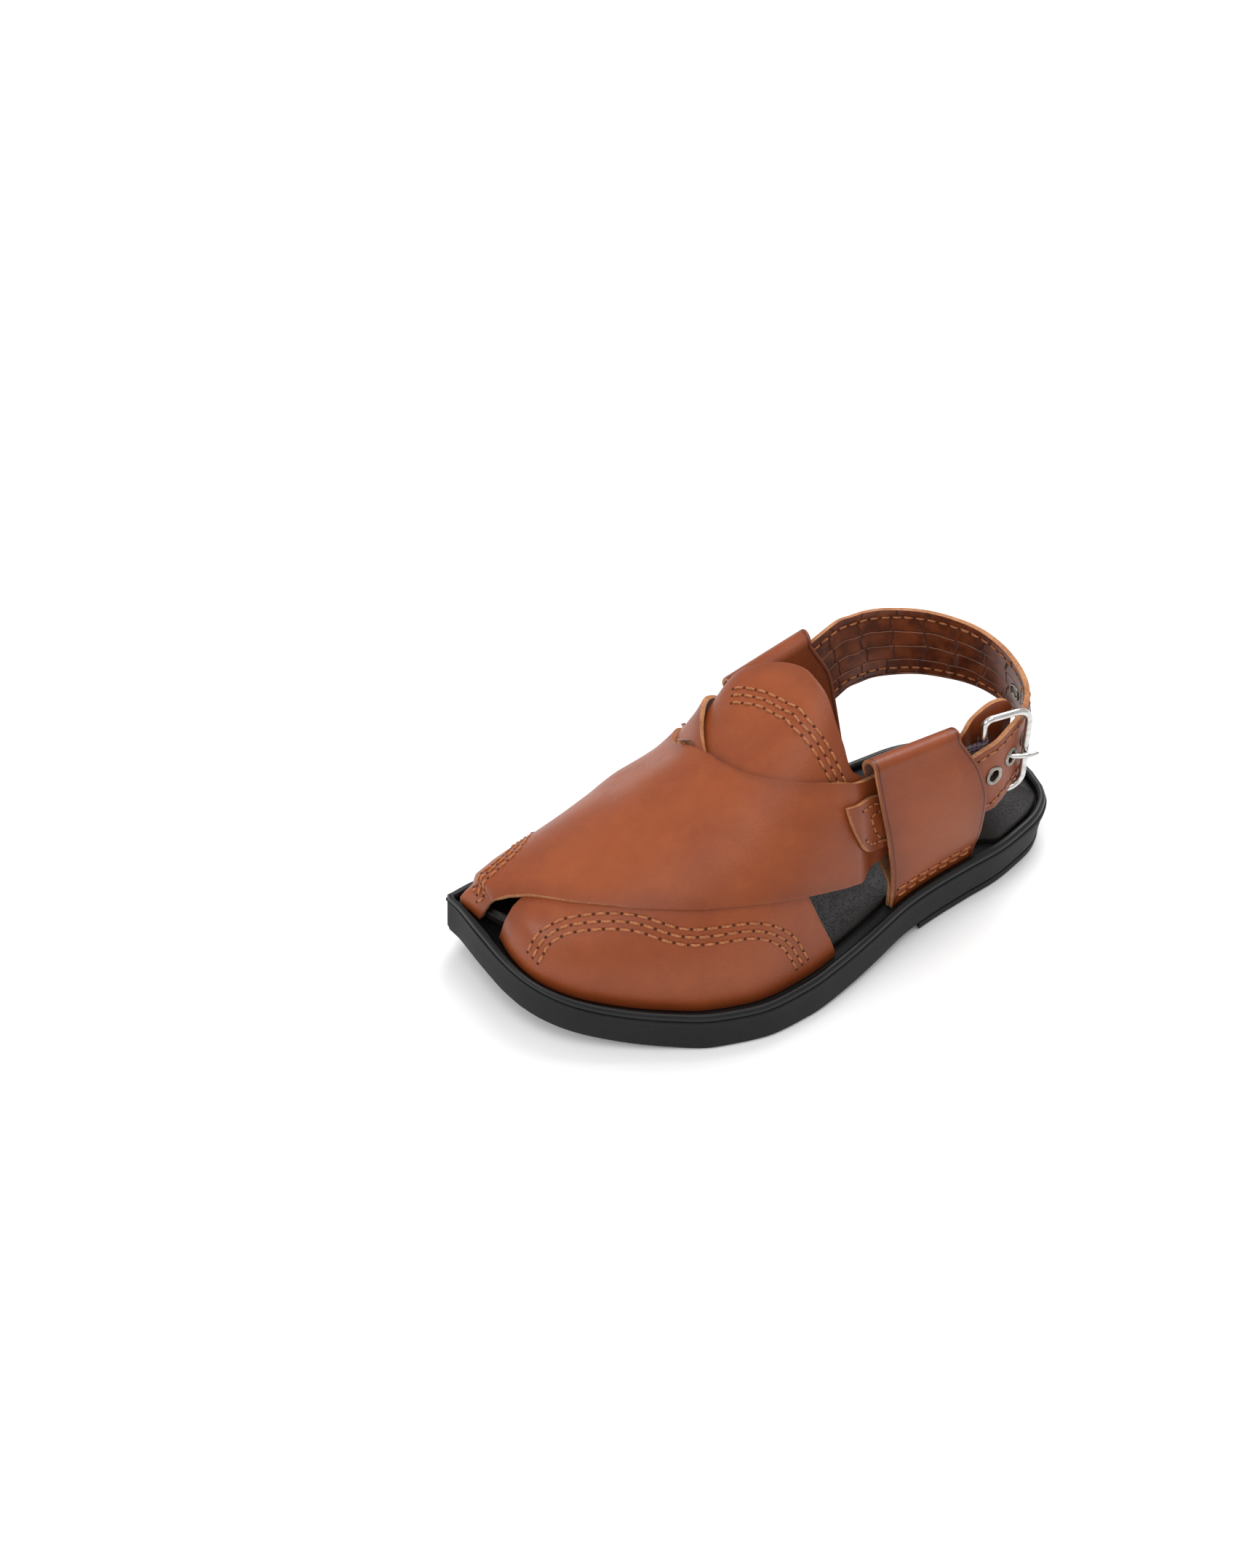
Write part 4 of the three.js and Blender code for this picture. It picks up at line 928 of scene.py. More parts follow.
@dataclass(frozen=True)
class Nickel:
    """Plated metal: bright on the buckle, darkened on the eyelets."""

    kind: MetalKind

    def make(self) -> bpy.types.Material:
        """The material."""
        bright = self.kind is MetalKind.BRIGHT
        rough = 0.14 if bright else 0.33
        look = Look(self.kind.value, rough, metallic=1.0)
        place = look.place()
        tarnish = look.noise(place, 420, 4, 0.6).between(0.35, 0.75)
        light = (0.64, 0.63, 0.615) if bright else (0.36, 0.33, 0.29)
        dark = (0.42, 0.41, 0.4) if bright else (0.15, 0.13, 0.11)
        look.feed("Base Color", look.mix(tarnish, light, dark))
        scratches = look.noise(place, 1600, 2)
        look.feed("Roughness", rough - 0.03 + 0.12 * tarnish)
        look.bump(scratches, 0.00002, 0.4)
        return look.material


@dataclass(frozen=True)
class Webbing:
    """Purple-grey webbing with twisted warp cords."""

    light: Colour = (0.19, 0.145, 0.18)
    dark: Colour = (0.035, 0.024, 0.034)

    def make(self) -> bpy.types.Material:
        """The material, on the chart Surface in metres."""
        look = Look("webbing", 0.85, specular=0.2)
        along, across, _ = look.chart("Surface")
        cords = (across * 5200).wave() * 0.5 + 0.5
        picks = (along * 4200 + cords * 2.2).wave() * 0.5 + 0.5
        weave = cords * 0.6 + picks * 0.4
        look.feed("Base Color", look.mix(weave, self.dark, self.light))
        look.bump(weave, 0.0003, 0.9)
        return look.material


@dataclass(frozen=True)
class PaleFloor:
    """Plain pale studio floor."""

    colour: Colour = (0.9, 0.9, 0.9)

    def make(self) -> bpy.types.Material:
        """The material."""
        look = Look("pale floor", 0.9, specular=0.1)
        look.set("Base Color", (*self.colour, 1.0))
        return look.material


class Wardrobe:
    """Makes each finish once and hands it out by name."""

    finishes = {
        "tan": TanLeather(), "creased": TanLeather(crease=0.0011), "cut": CutEdge(), "suede": Suede(),
        "lining": ScaleLining(), "thread": Thread(),
        "hole": NeedleHole(), "wall": Rubber(RubberKind.WALL), "bead": Rubber(RubberKind.BEAD),
        "footbed": Footbed(), "bright": Nickel(MetalKind.BRIGHT), "dull": Nickel(MetalKind.DULL),
        "web": Webbing(), "floor": PaleFloor(),
    }

    def __init__(self) -> None:
        """Starts with nothing made."""
        self.made: dict[str, bpy.types.Material] = {}

    def get(self, name: str) -> bpy.types.Material:
        """The finish of a name, made when it is first asked for."""
        if name not in self.made:
            self.made[name] = self.finishes[name].make()
        return self.made[name]


WARDROBE = Wardrobe()
FINE_COUNT = 4000
SHIFT = np.array([-SIZE.heel_along, -SIZE.heel_across, 0.0])


def metres(points: Array) -> Array:
    """Millimetres on the sole's axes as metres in the part's frame."""
    return (points + SHIFT) / MM_PER_M


class Bench:
    """Modelling steps on bpy operators. Each leaves one piece selected and active."""

    edgeless: float = 10.0
    open_gap: float = 0.00004
    upright: float = 0.9

    @staticmethod
    def clear() -> None:
        """Deselects everything."""
        if bpy.context.mode != "OBJECT":
            bpy.ops.object.mode_set(mode="OBJECT")
        bpy.ops.object.select_all(action="DESELECT")

    @staticmethod
    def pick(piece: bpy.types.Object) -> None:
        """Selects one piece alone."""
        Bench.clear()
        piece.select_set(True)
        bpy.context.view_layer.objects.active = piece

    @staticmethod
    def sheet(name: str, points: Array, flip: bool = False, rounded: bool = False) -> bpy.types.Object:
        """Lays a grid of faces through rows and columns of points, with charts Surface and Edge.

        Args:
            name: the piece's name.
            points: rows by columns of points in millimetres.
            flip: turns the faces over.
            rounded: whether the columns close on themselves.

        Returns:
            The piece.
        """
        if flip:
            points = points[:, ::-1]
        rows, columns = points.shape[:2]
        Bench.clear()
        bpy.ops.mesh.primitive_grid_add(x_subdivisions=columns - 1, y_subdivisions=rows - 1, size=1)
        piece = bpy.context.active_object
        piece.name = piece.data.name = name
        mesh = piece.data
        flat = np.empty(len(mesh.vertices) * 3)
        mesh.vertices.foreach_get("co", flat)
        flat = flat.reshape(-1, 3)
        column = np.rint((flat[:, 0] + 0.5) * (columns - 1)).astype(int)
        row = np.rint((flat[:, 1] + 0.5) * (rows - 1)).astype(int)
        mesh.vertices.foreach_set("co", metres(points[row, column]).ravel())
        across = np.linalg.norm(np.diff(points, axis=1), axis=2)
        across = np.concatenate([np.zeros((rows, 1)), np.cumsum(across, axis=1)], axis=1)
        along = np.linalg.norm(np.diff(points, axis=0), axis=2)
        along = np.concatenate([np.zeros((1, columns)), np.cumsum(along, axis=0)], axis=0)
        middle = across - across[:, columns // 2][:, None]
        edge = np.minimum(across, across[:, -1:] - across)
        if rounded:
            edge = np.full_like(edge, Bench.edgeless)
        loops = np.empty(len(mesh.loops), dtype=int)
        mesh.loops.foreach_get("vertex_index", loops)
        surface = mesh.uv_layers[0]
        surface.name = "Surface"
        mean_along = np.repeat(along[:, columns // 2][:, None], columns, axis=1)
        values = np.stack([mean_along, middle], axis=2)[row, column] / MM_PER_M
        surface.data.foreach_set("uv", values[loops].ravel())
        border = mesh.uv_layers.new(name="Edge")
        distances = np.stack([edge, along], axis=2)[row, column] / MM_PER_M
        border.data.foreach_set("uv", distances[loops].ravel())
        mesh.update()
        return piece

    @staticmethod
    def weld(piece: bpy.types.Object, gap: float = 0.02) -> None:
        """Merges points that lie together, and turns all faces outwards.

        Args:
            piece: a closed piece.
            gap: how near they lie, in millimetres.
        """
        Bench.pick(piece)
        bpy.ops.object.mode_set(mode="EDIT")
        bpy.ops.mesh.select_all(action="SELECT")
        bpy.ops.mesh.remove_doubles(threshold=gap / MM_PER_M)
        bpy.ops.mesh.normals_make_consistent(inside=False)
        bpy.ops.object.mode_set(mode="OBJECT")

    @staticmethod
    def apply(piece: bpy.types.Object, kind: str, settings: dict) -> None:
        """Adds a modifier with its settings and applies it."""
        Bench.pick(piece)
        modifier = piece.modifiers.new(kind.title(), kind)
        for name, value in settings.items():
            setattr(modifier, name, value)
        bpy.ops.object.modifier_apply(modifier=modifier.name)

    @staticmethod
    def thicken(piece: bpy.types.Object, wall: float, inside: int = 0, rim: int = 0) -> None:
        """Gives a sheet its wall, inwards, with material slots for its inside and its rim."""
        settings = {
            "thickness": wall / MM_PER_M, "offset": -1.0, "use_even_offset": False,
            "use_quality_normals": True,
            "material_offset": inside, "material_offset_rim": rim,
        }
        Bench.apply(piece, "SOLIDIFY", settings)

    @staticmethod
    def ease(piece: bpy.types.Object, width: float, segments: int = 2, angle: float = 50) -> None:
        """Rounds the edges that are sharper than an angle."""
        settings = {
            "width": width / MM_PER_M, "segments": segments, "limit_method": "ANGLE",
            "angle_limit": math.radians(angle), "use_clamp_overlap": True,
        }
        Bench.apply(piece, "BEVEL", settings)

    @staticmethod
    def soften(piece: bpy.types.Object, angle: float = 40) -> None:
        """Smooth shading across edges flatter than an angle."""
        Bench.pick(piece)
        bpy.ops.object.shade_smooth_by_angle(angle=math.radians(angle))

    @staticmethod
    def wear(piece: bpy.types.Object, *finishes: str) -> None:
        """Gives a piece its finishes, in the order of its slots."""
        for finish in finishes:
            piece.data.materials.append(WARDROBE.get(finish))

    @staticmethod
    def leather(
        name: str, points: Array, wall: float, inside: str, flip: bool = False, round_off: float = 0.3,
        outside: str = "tan",
    ) -> bpy.types.Object:
        """A leather sheet with its wall, cut edges and rounded rim.

        Args:
            name: the piece's name.
            points: rows by columns of points of its outer face.
            wall: thickness in millimetres.
            inside: finish of its inner face.
            flip: turns the faces over.
            round_off: rounding of its edges.
            outside: finish of its outer face.

        Returns:
            The piece.
        """
        piece = Bench.sheet(name, points, flip)
        Bench.weld_open(piece)
        Bench.wear(piece, outside, inside, "cut")
        Bench.thicken(piece, wall, 1, 2)
        Bench.ease(piece, round_off)
        Bench.soften(piece)
        return piece

    @staticmethod
    def weld_open(piece: bpy.types.Object) -> None:
        """Merges the points of an open sheet that lie together, its faces left as they point."""
        Bench.pick(piece)
        bpy.ops.object.mode_set(mode="EDIT")
        bpy.ops.mesh.select_all(action="SELECT")
        bpy.ops.mesh.remove_doubles(threshold=Bench.open_gap)
        bpy.ops.object.mode_set(mode="OBJECT")

    @staticmethod
    def tube(
        name: str, path: Array, radii: Array | float, closed: bool, around: int = 20
    ) -> bpy.types.Object:
        """A wire along a path.

        Args:
            name: the piece's name.
            path: points of its middle line.
            radii: radius at each point; ends that shrink to nothing close it.
            closed: whether the path closes on itself.
            around: faces round the wire.

        Returns:
            The piece.
        """
        count = len(path)
        before = np.roll(path, 1, axis=0) if closed else path[np.maximum(np.arange(count) - 1, 0)]
        after = np.roll(path, -1, axis=0) if closed else path[np.minimum(np.arange(count) + 1, count - 1)]
        travel = unit(after - before)
        side = np.zeros_like(path)
        steep = abs(travel[0, 2]) > Bench.upright
        start = np.array([0.0, 1.0, 0.0]) if steep else np.array([0.0, 0.0, 1.0])
        for i in range(count):
            start = unit(start - travel[i] * np.dot(start, travel[i]))
            side[i] = start
        other = np.cross(travel, side)
        turn = np.linspace(0, 2 * np.pi, around + 1)[None, :, None]
        radius = np.broadcast_to(np.asarray(radii, float), (count,))[:, None, None]
        rings = path[:, None] + radius * (side[:, None] * np.cos(turn) + other[:, None] * np.sin(turn))
        if closed:
            rings = np.concatenate([rings, rings[:1]])
        piece = Bench.sheet(name, rings, rounded=True)
        Bench.weld(piece)
        return piece

    @staticmethod
    def finish(piece: bpy.types.Object, slot: str, *nodes: str) -> bpy.types.Object:
        """Ties a piece to the part.

        Args:
            piece: the finished piece.
            slot: a material slot's name; not used.
            nodes: the nodes that it stands for, if any.

        Returns:
            The piece.
        """
        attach(piece, "root")
        if nodes:
            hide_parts(*nodes)
        log.info("%s: %d faces", piece.name, len(piece.data.polygons))
        return piece


def faces_in(points: Array, centre: Sequence[float]) -> bool:
    """Whether the faces of a grid of points look towards a centre, so that they need turning over."""
    across = np.gradient(points, axis=1)
    along = np.gradient(points, axis=0)
    return float(np.sum(np.cross(across, along) * (points - np.asarray(centre, float)))) < 0


def through(rows: Array, count: int) -> Array:
    """Control rows of points as more rows, evenly spaced along smooth curves through each column.

    Args:
        rows: control rows by columns of points.
        count: how many rows to return.

    Returns:
        The rows.
    """
    middle = rows[:, rows.shape[1] // 2]
    shares_fine = np.linspace(0, 1, FINE_COUNT)
    fine = Spline(middle)(shares_fine)
    reach = np.concatenate([[0], np.cumsum(np.linalg.norm(np.diff(fine, axis=0), axis=1))])
    shares = np.interp(np.linspace(0, reach[-1], count), reach, shares_fine)
    return np.stack([Spline(rows[:, k])(shares) for k in range(rows.shape[1])], axis=1)


class Sewing:
    """Rows of stitches with their needle holes on one group of pieces."""

    gap: float = 0.75
    arch: float = 0.34
    sunk: float = 0.12
    flat: float = 0.8
    blunt: float = 0.75
    arch_power: float = 0.7
    reach_out: float = 0.4
    hole_size: tuple[float, float, float] = (1.15, 1.0, 0.22)
    hole_margin: float = 0.01

    def __init__(self, name: str, pitch: float = 4.2, thread: float = 0.95) -> None:
        """Models the one stitch and the one hole that are copied.

        Args:
            name: name of the group.
            pitch: length of a stitch with its hole.
            thread: thickness of the thread.
        """
        self.name, self.pitch, self.thread = name, pitch, thread
        self.stitch = self._pattern(8, 6)
        self.hole = self._pattern(8, 4)
        self.threads: list[Array] = []
        self.holes: list[Array] = []

    @staticmethod
    def _pattern(segments: int, rings: int) -> tuple[Array, list[tuple[int, ...]]]:
        """A small ball's points and faces, poles along its first axis."""
        Bench.clear()
        bpy.ops.mesh.primitive_uv_sphere_add(segments=segments, ring_count=rings, radius=0.5)
        ball = bpy.context.active_object
        points = np.array([vertex.co[:] for vertex in ball.data.vertices])[:, [2, 0, 1]]
        faces = [tuple(face.vertices) for face in ball.data.polygons]
        bpy.ops.object.delete()
        return points, faces

    def sew(self, points: Array, normals: Array) -> None:
        """Sews one row.

        Args:
            points: the row's line on the leather.
            normals: the leather's outward directions there.
        """
        reach = np.concatenate([[0], np.cumsum(np.linalg.norm(np.diff(points, axis=0), axis=1))])
        count = max(int(round(reach[-1] / self.pitch)), 1)
        pitch = reach[-1] / count

        def at(distance: Array) -> tuple[Array, Array, Array]:
            """Place, outward and sideways directions at distances along the row."""
            spot = np.stack([np.interp(distance, reach, points[:, k]) for k in range(3)], axis=-1)
            out = unit(np.stack([np.interp(distance, reach, normals[:, k]) for k in range(3)], axis=-1))
            ahead, behind = (
                np.stack([np.interp(distance + by, reach, points[:, k]) for k in range(3)], axis=-1)
                for by in (self.reach_out, -self.reach_out)
            )
            return spot, out, unit(np.cross(out, ahead - behind))

        shape = self.stitch[0]
        full = np.sign(shape[:, 0]) * 0.5 * np.abs(2 * shape[:, 0]) ** self.blunt
        arch = self.arch * np.cos(np.pi * full) ** self.arch_power * self.thread - self.sunk
        for k in range(count):
            spot, out, side = at((k + 0.5) * pitch + full * (pitch - self.gap))
            height = shape[:, 2] * self.thread * self.flat + arch
            self.threads.append(spot + side * (shape[:, 1] * self.thread)[:, None] + out * height[:, None])
        ball = self.hole[0]
        for k in range(count + 1):
            distance = min(max(k * pitch, self.hole_margin), reach[-1] - self.hole_margin)
            spot, out, side = at(np.full(len(ball), distance))
            ahead = np.cross(side, out)
            long, wide, deep = (ball * self.hole_size).T[..., None]
            place = spot + ahead * long + side * wide + out * deep
            self.holes.append(place)

    def _gather(
        self, name: str, copies: list[Array], faces: list[tuple[int, ...]], finish: str
    ) -> bpy.types.Object:
        """All copies of one pattern as a piece."""
        size = len(copies[0])
        data = bpy.data.meshes.new(name)
        every = [tuple(v + i * size for v in face) for i in range(len(copies)) for face in faces]
        data.from_pydata(metres(np.concatenate(copies)).tolist(), [], every)
        piece = bpy.data.objects.new(name, data)
        bpy.context.collection.objects.link(piece)
        Bench.pick(piece)
        bpy.ops.object.shade_smooth()
        Bench.wear(piece, finish)
        return Bench.finish(piece, "tan_leather")

    def finish(self) -> None:
        """Makes the group's two pieces."""
        self._gather(self.name + "_stitches", self.threads, self.stitch[1], "thread")
        self._gather(self.name + "_needle_holes", self.holes, self.hole[1], "hole")


Place = Callable[[Array, Array], Array]


def on_chart(
    place: Place, pairs: Array, inset: float = 0.0, count: int = 240, outward: float = 1.0
) -> tuple[Array, Array]:
    """A line drawn in a surface's chart, as points with outward directions.

    Args:
        place: gives the surface's points for two chart values.
        pairs: the line's chart values.
        inset: distance by which it is moved sideways on the surface, in millimetres.
        count: how many points to return.
        outward: 1 or -1, which turns the directions.

    Returns:
        The points and the directions.
    """
    line = Spline(np.concatenate([pairs, np.zeros((len(pairs), 1))], axis=1))(np.linspace(0, 1, count))[:, :2]
    step = 1e-3

    def slopes(a: Array, b: Array) -> tuple[Array, Array, Array]:
        """Both slopes of the surface and its outward direction."""
        first = (place(a + step, b) - place(a - step, b)) / (2 * step)
        second = (place(a, b + step) - place(a, b - step)) / (2 * step)
        return first, second, unit(np.cross(second, first)) * outward

    a, b = line[:, 0], line[:, 1]
    if inset:
        first, second, out = slopes(a, b)
        travel = unit(np.gradient(place(a, b), axis=0))
        side = np.cross(out, travel) * inset
        basis = np.stack([first, second], axis=2)
        moved = np.stack([np.linalg.lstsq(m, s, rcond=None)[0] for m, s in zip(basis, side)])
        a, b = a + moved[:, 0], b + moved[:, 1]
    return place(a, b), slopes(a, b)[2]


@dataclass(frozen=True)
class Sole:
    """Rubber sole with its heel block and bead, and the footbed on it."""

    stations: int = 300
    tread_pitch: float = 3.0
    tread_depth: float = 0.55
    tooth_pitch: float = 2.1
    tooth_depth: float = 0.6
    tread_from: float = 0.31
    tread_ease: float = 0.03
    undercut_until: float = 0.5
    wall_angle: float = 32
    bead_angle: float = 60
    bead_stations: int = 220
    heel_stations: int = 220
    footbed_angle: float = 50
    footbed_ends: tuple[float, float] = (0.006, 0.994)
    footbed_stations: int = 200
    waist_from: float = 0.115
    waist_ease: float = 0.05
    toe_inset: float = 2
    toe_from: float = 0.78
    toe_ease: float = 0.12

    def ring(
        self, along: Array, half: list[tuple[Array | float, Array | float]], bottom: int = 14, top: int = 14
    ) -> Array:
        """Closed sections across the sole.

        Args:
            along: stations.
            half: inward distances and heights up one side.
            bottom: points across the underside.
            top: points across the top.

        Returns:
            Stations by points round the section.
        """
        sides = {
            side: [stack(*SOLE.edge(side, along, inward), height) for inward, height in half]
            for side in Side
        }
        outer, inner = sides[Side.OUTER], sides[Side.INNER]
        shares = lambda count: np.linspace(0, 1, count + 2)[1:-1]
        over = [blend(outer[-1], inner[-1], share) for share in shares(top)]
        under = [blend(inner[0], outer[0], share) for share in shares(bottom)]
        loop = [*outer, *over, *reversed(inner), *under, outer[0]]
        return np.stack(loop, axis=1)

    @staticmethod
    def close(rings: Array) -> Array:
        """Adds a flat end before the first and after the last section."""
        start, end = rings[:1].copy(), rings[-1:].copy()
        for cap in (start, end):
            cap[..., :2] = cap[..., :2].mean(axis=1, keepdims=True)
        return np.concatenate([start, rings, end])

    @staticmethod
    def teeth(distance: Array, pitch: float) -> Array:
        """Square-cut grooves with sloped flanks, 0 on a tooth and 1 in a groove."""
        return smooth((np.cos(2 * np.pi * distance / pitch) - 0.35) / 0.3)

    def build_sole(self) -> bpy.types.Object:
        """The moulded sole: tread, chamfer, wall and the fine lip at its top."""
        share = np.linspace(0, 1, self.stations)
        along = blend(share, (1 - np.cos(np.pi * share)) / 2, 0.6)
        bottom, top = SOLE.bottom(along), SOLE.top(along)
        under = SIZE.undercut * (1 - smooth(along / self.undercut_until))
        lip = SIZE.lip_height
        half = [
            (under + SIZE.chamfer + 2.2, bottom), (under + SIZE.chamfer, bottom),
            (under + SIZE.chamfer * 0.3, bottom + SIZE.chamfer * 0.3), (under, bottom + SIZE.chamfer),
            (blend(under, SIZE.lip, 0.5), blend(bottom + SIZE.chamfer, top - lip, 0.5)),
            (SIZE.lip, top - lip * 1.12), (SIZE.lip, top - lip), (0.04, top - lip * 0.9),
            (0.0, top - lip * 0.75),
            (0.0, top - lip * 0.3), (0.12, top - lip * 0.08), (SIZE.lip, top),
            (SIZE.lip + 1.0, top - 0.35),
        ]
        rings = self.ring(along, half)
        begun = smooth((along - self.tread_from) / self.tread_ease)
        groove = self.teeth(along * SIZE.length, self.tread_pitch) * begun
        columns = [0, *range(rings.shape[1] - 15, rings.shape[1])]
        rings[:, columns, 2] += (groove * self.tread_depth)[:, None]
        piece = Bench.sheet("outsole_moulded", self.close(rings), rounded=True)
        Bench.weld(piece)
        Bench.wear(piece, "wall")
        Bench.soften(piece, self.wall_angle)
        return Bench.finish(piece, "rubber", "outsole")

    def build_heel(self) -> bpy.types.Object:
        """The heel block with its fine teeth."""
        end = (SIZE.heel_length + SIZE.undercut) / SIZE.length
        share = np.linspace(0, 1, self.heel_stations)
        along = end * blend(1 - np.cos(np.pi / 2 * share), share, 0.55)
        under = SIZE.undercut * (1 - smooth(along / self.undercut_until))
        top = np.full_like(along, SIZE.heel_lift + SIZE.clearance + 0.05)
        zero = np.zeros_like(along)
        half = [
            (under + 1.8, zero), (under + 0.35, zero), (under + 0.1, zero + 0.35), (under, zero + 1.1),
            (under, top),
        ]
        rings = self.ring(along, half, 10, 4)
        groove = self.teeth(along * SIZE.length, self.tooth_pitch)
        low = rings[:, :, 2] < 0.3
        rings[..., 2] += np.where(low, (groove * self.tooth_depth)[:, None], 0.0)
        piece = Bench.sheet("heel_block", self.close(rings), rounded=True)
        Bench.weld(piece)
        Bench.wear(piece, "wall")
        Bench.soften(piece, self.wall_angle)
        return Bench.finish(piece, "rubber", "heel")

    def build_bead(self) -> bpy.types.Object:
        """The glossy bead round the top of the sole."""
        share = np.linspace(0, 1, self.bead_stations)
        along = (1 - np.cos(np.pi * share)) / 2
        section = Spline(np.array([
            [0.05, -0.12, 0], [0.0, 0.3, 0], [0.1, 0.72, 0], [0.32, 0.96, 0], [0.55, 1.0, 0],
            [0.8, 0.86, 0], [0.98, 0.45, 0], [1.02, -0.12, 0],
        ]))(np.linspace(0, 1, 16))

        def side_rings(side: Side, stations: Array) -> Array:
            """Sections of the bead along one side."""
            rings = []
            for inward, up, _ in section:
                x, y = SOLE.edge(side, stations, SIZE.lip + inward * SIZE.bead)
                rings.append(stack(x, y, SOLE.top(stations) + up * (SIZE.bead_height + SIZE.clearance)))
            return np.stack(rings, axis=1)

        rings = np.concatenate([side_rings(Side.OUTER, along), side_rings(Side.INNER, along[::-1])])
        rings = np.concatenate([rings, rings[:1]])
        rings = np.concatenate([rings, rings[:, :1]], axis=1)
        piece = Bench.sheet("bead", rings, rounded=True)
        Bench.weld(piece)
        Bench.wear(piece, "bead")
        Bench.soften(piece, self.bead_angle)
        return Bench.finish(piece, "gloss_rubber", "welt")

    def build_footbed(self) -> bpy.types.Object:
        """The footbed with its rolled edge and slight dome."""
        along = np.linspace(*self.footbed_ends, self.footbed_stations)
        heel = SIZE.lip + SIZE.bead * 1.04 + SIZE.clearance
        waist = SIZE.rim + SIZE.leather + 4 * SIZE.clearance
        inset = blend(heel, waist, smooth((along - self.waist_from) / self.waist_ease))
        inset = inset + self.toe_inset * smooth((along - self.toe_from) / self.toe_ease)
        base = SOLE.top(along) + 0.02
        edge = base + SIZE.insole + SIZE.clearance
        half = [
            (inset, base), (inset, edge - 0.75), (inset + 0.12, edge - 0.4), (inset + 0.4, edge - 0.15),
            (inset + 0.9, edge), (inset + 3, edge + 0.12), (inset + 6, edge + 0.6 * SIZE.insole_dome),
            (inset + 9, edge + 0.9 * SIZE.insole_dome),
        ]
        rings = self.ring(along, half, 4, 12)
        piece = Bench.sheet("footbed", self.close(rings), rounded=True)
        Bench.weld(piece)
        Bench.wear(piece, "footbed")
        Bench.soften(piece, self.footbed_angle)
        return Bench.finish(piece, "footbed", "insole")

    def build(self) -> None:
        """Builds the four pieces."""
        self.build_sole()
        self.build_heel()
        self.build_bead()
        self.build_footbed()


@dataclass(frozen=True)
class Stretch:
    """One stretch of a band between matching runs of its front and rear edges, as chart pairs."""

    front: Array
    rear: Array
    rows: int

    def chart(self, columns: int) -> Array:
        """Rows by columns of chart pairs."""
        at = np.linspace(0, 1, self.rows)
        edges = []
        for run in (self.front, self.rear):
            reach = np.concatenate([[0], np.cumsum(np.linalg.norm(np.diff(run, axis=0), axis=1))])
            reach = reach / max(reach[-1], 1e-9)
            edges.append(np.stack([np.interp(at, reach, run[:, k]) for k in range(2)], axis=1))
        share = np.linspace(0, 1, columns)[None, :, None]
        return edges[0][:, None] * (1 - share) + edges[1][:, None] * share


def run_along(table: Table, start: float, end: float, count: int = 60) -> Array:
    """Pairs on a band's edge between two places along the sole."""
    along = np.linspace(start, end, count)
    return np.stack([along, table.curve("along", "girth")(along)], axis=1)


def run_through(table: Table, count: int = 80) -> Array:
    """Pairs on a band's edge that isn't a function of its length, through all of its rows."""
    flat = np.zeros((len(table.rows), 1))
    return resample(np.concatenate([table.pairs("along", "girth"), flat], axis=1), count)[:, :2]


def straight(start: tuple[float, float], end: tuple[float, float]) -> Array:
    """Pairs from one place to another."""
    return np.linspace(start, end, 40)


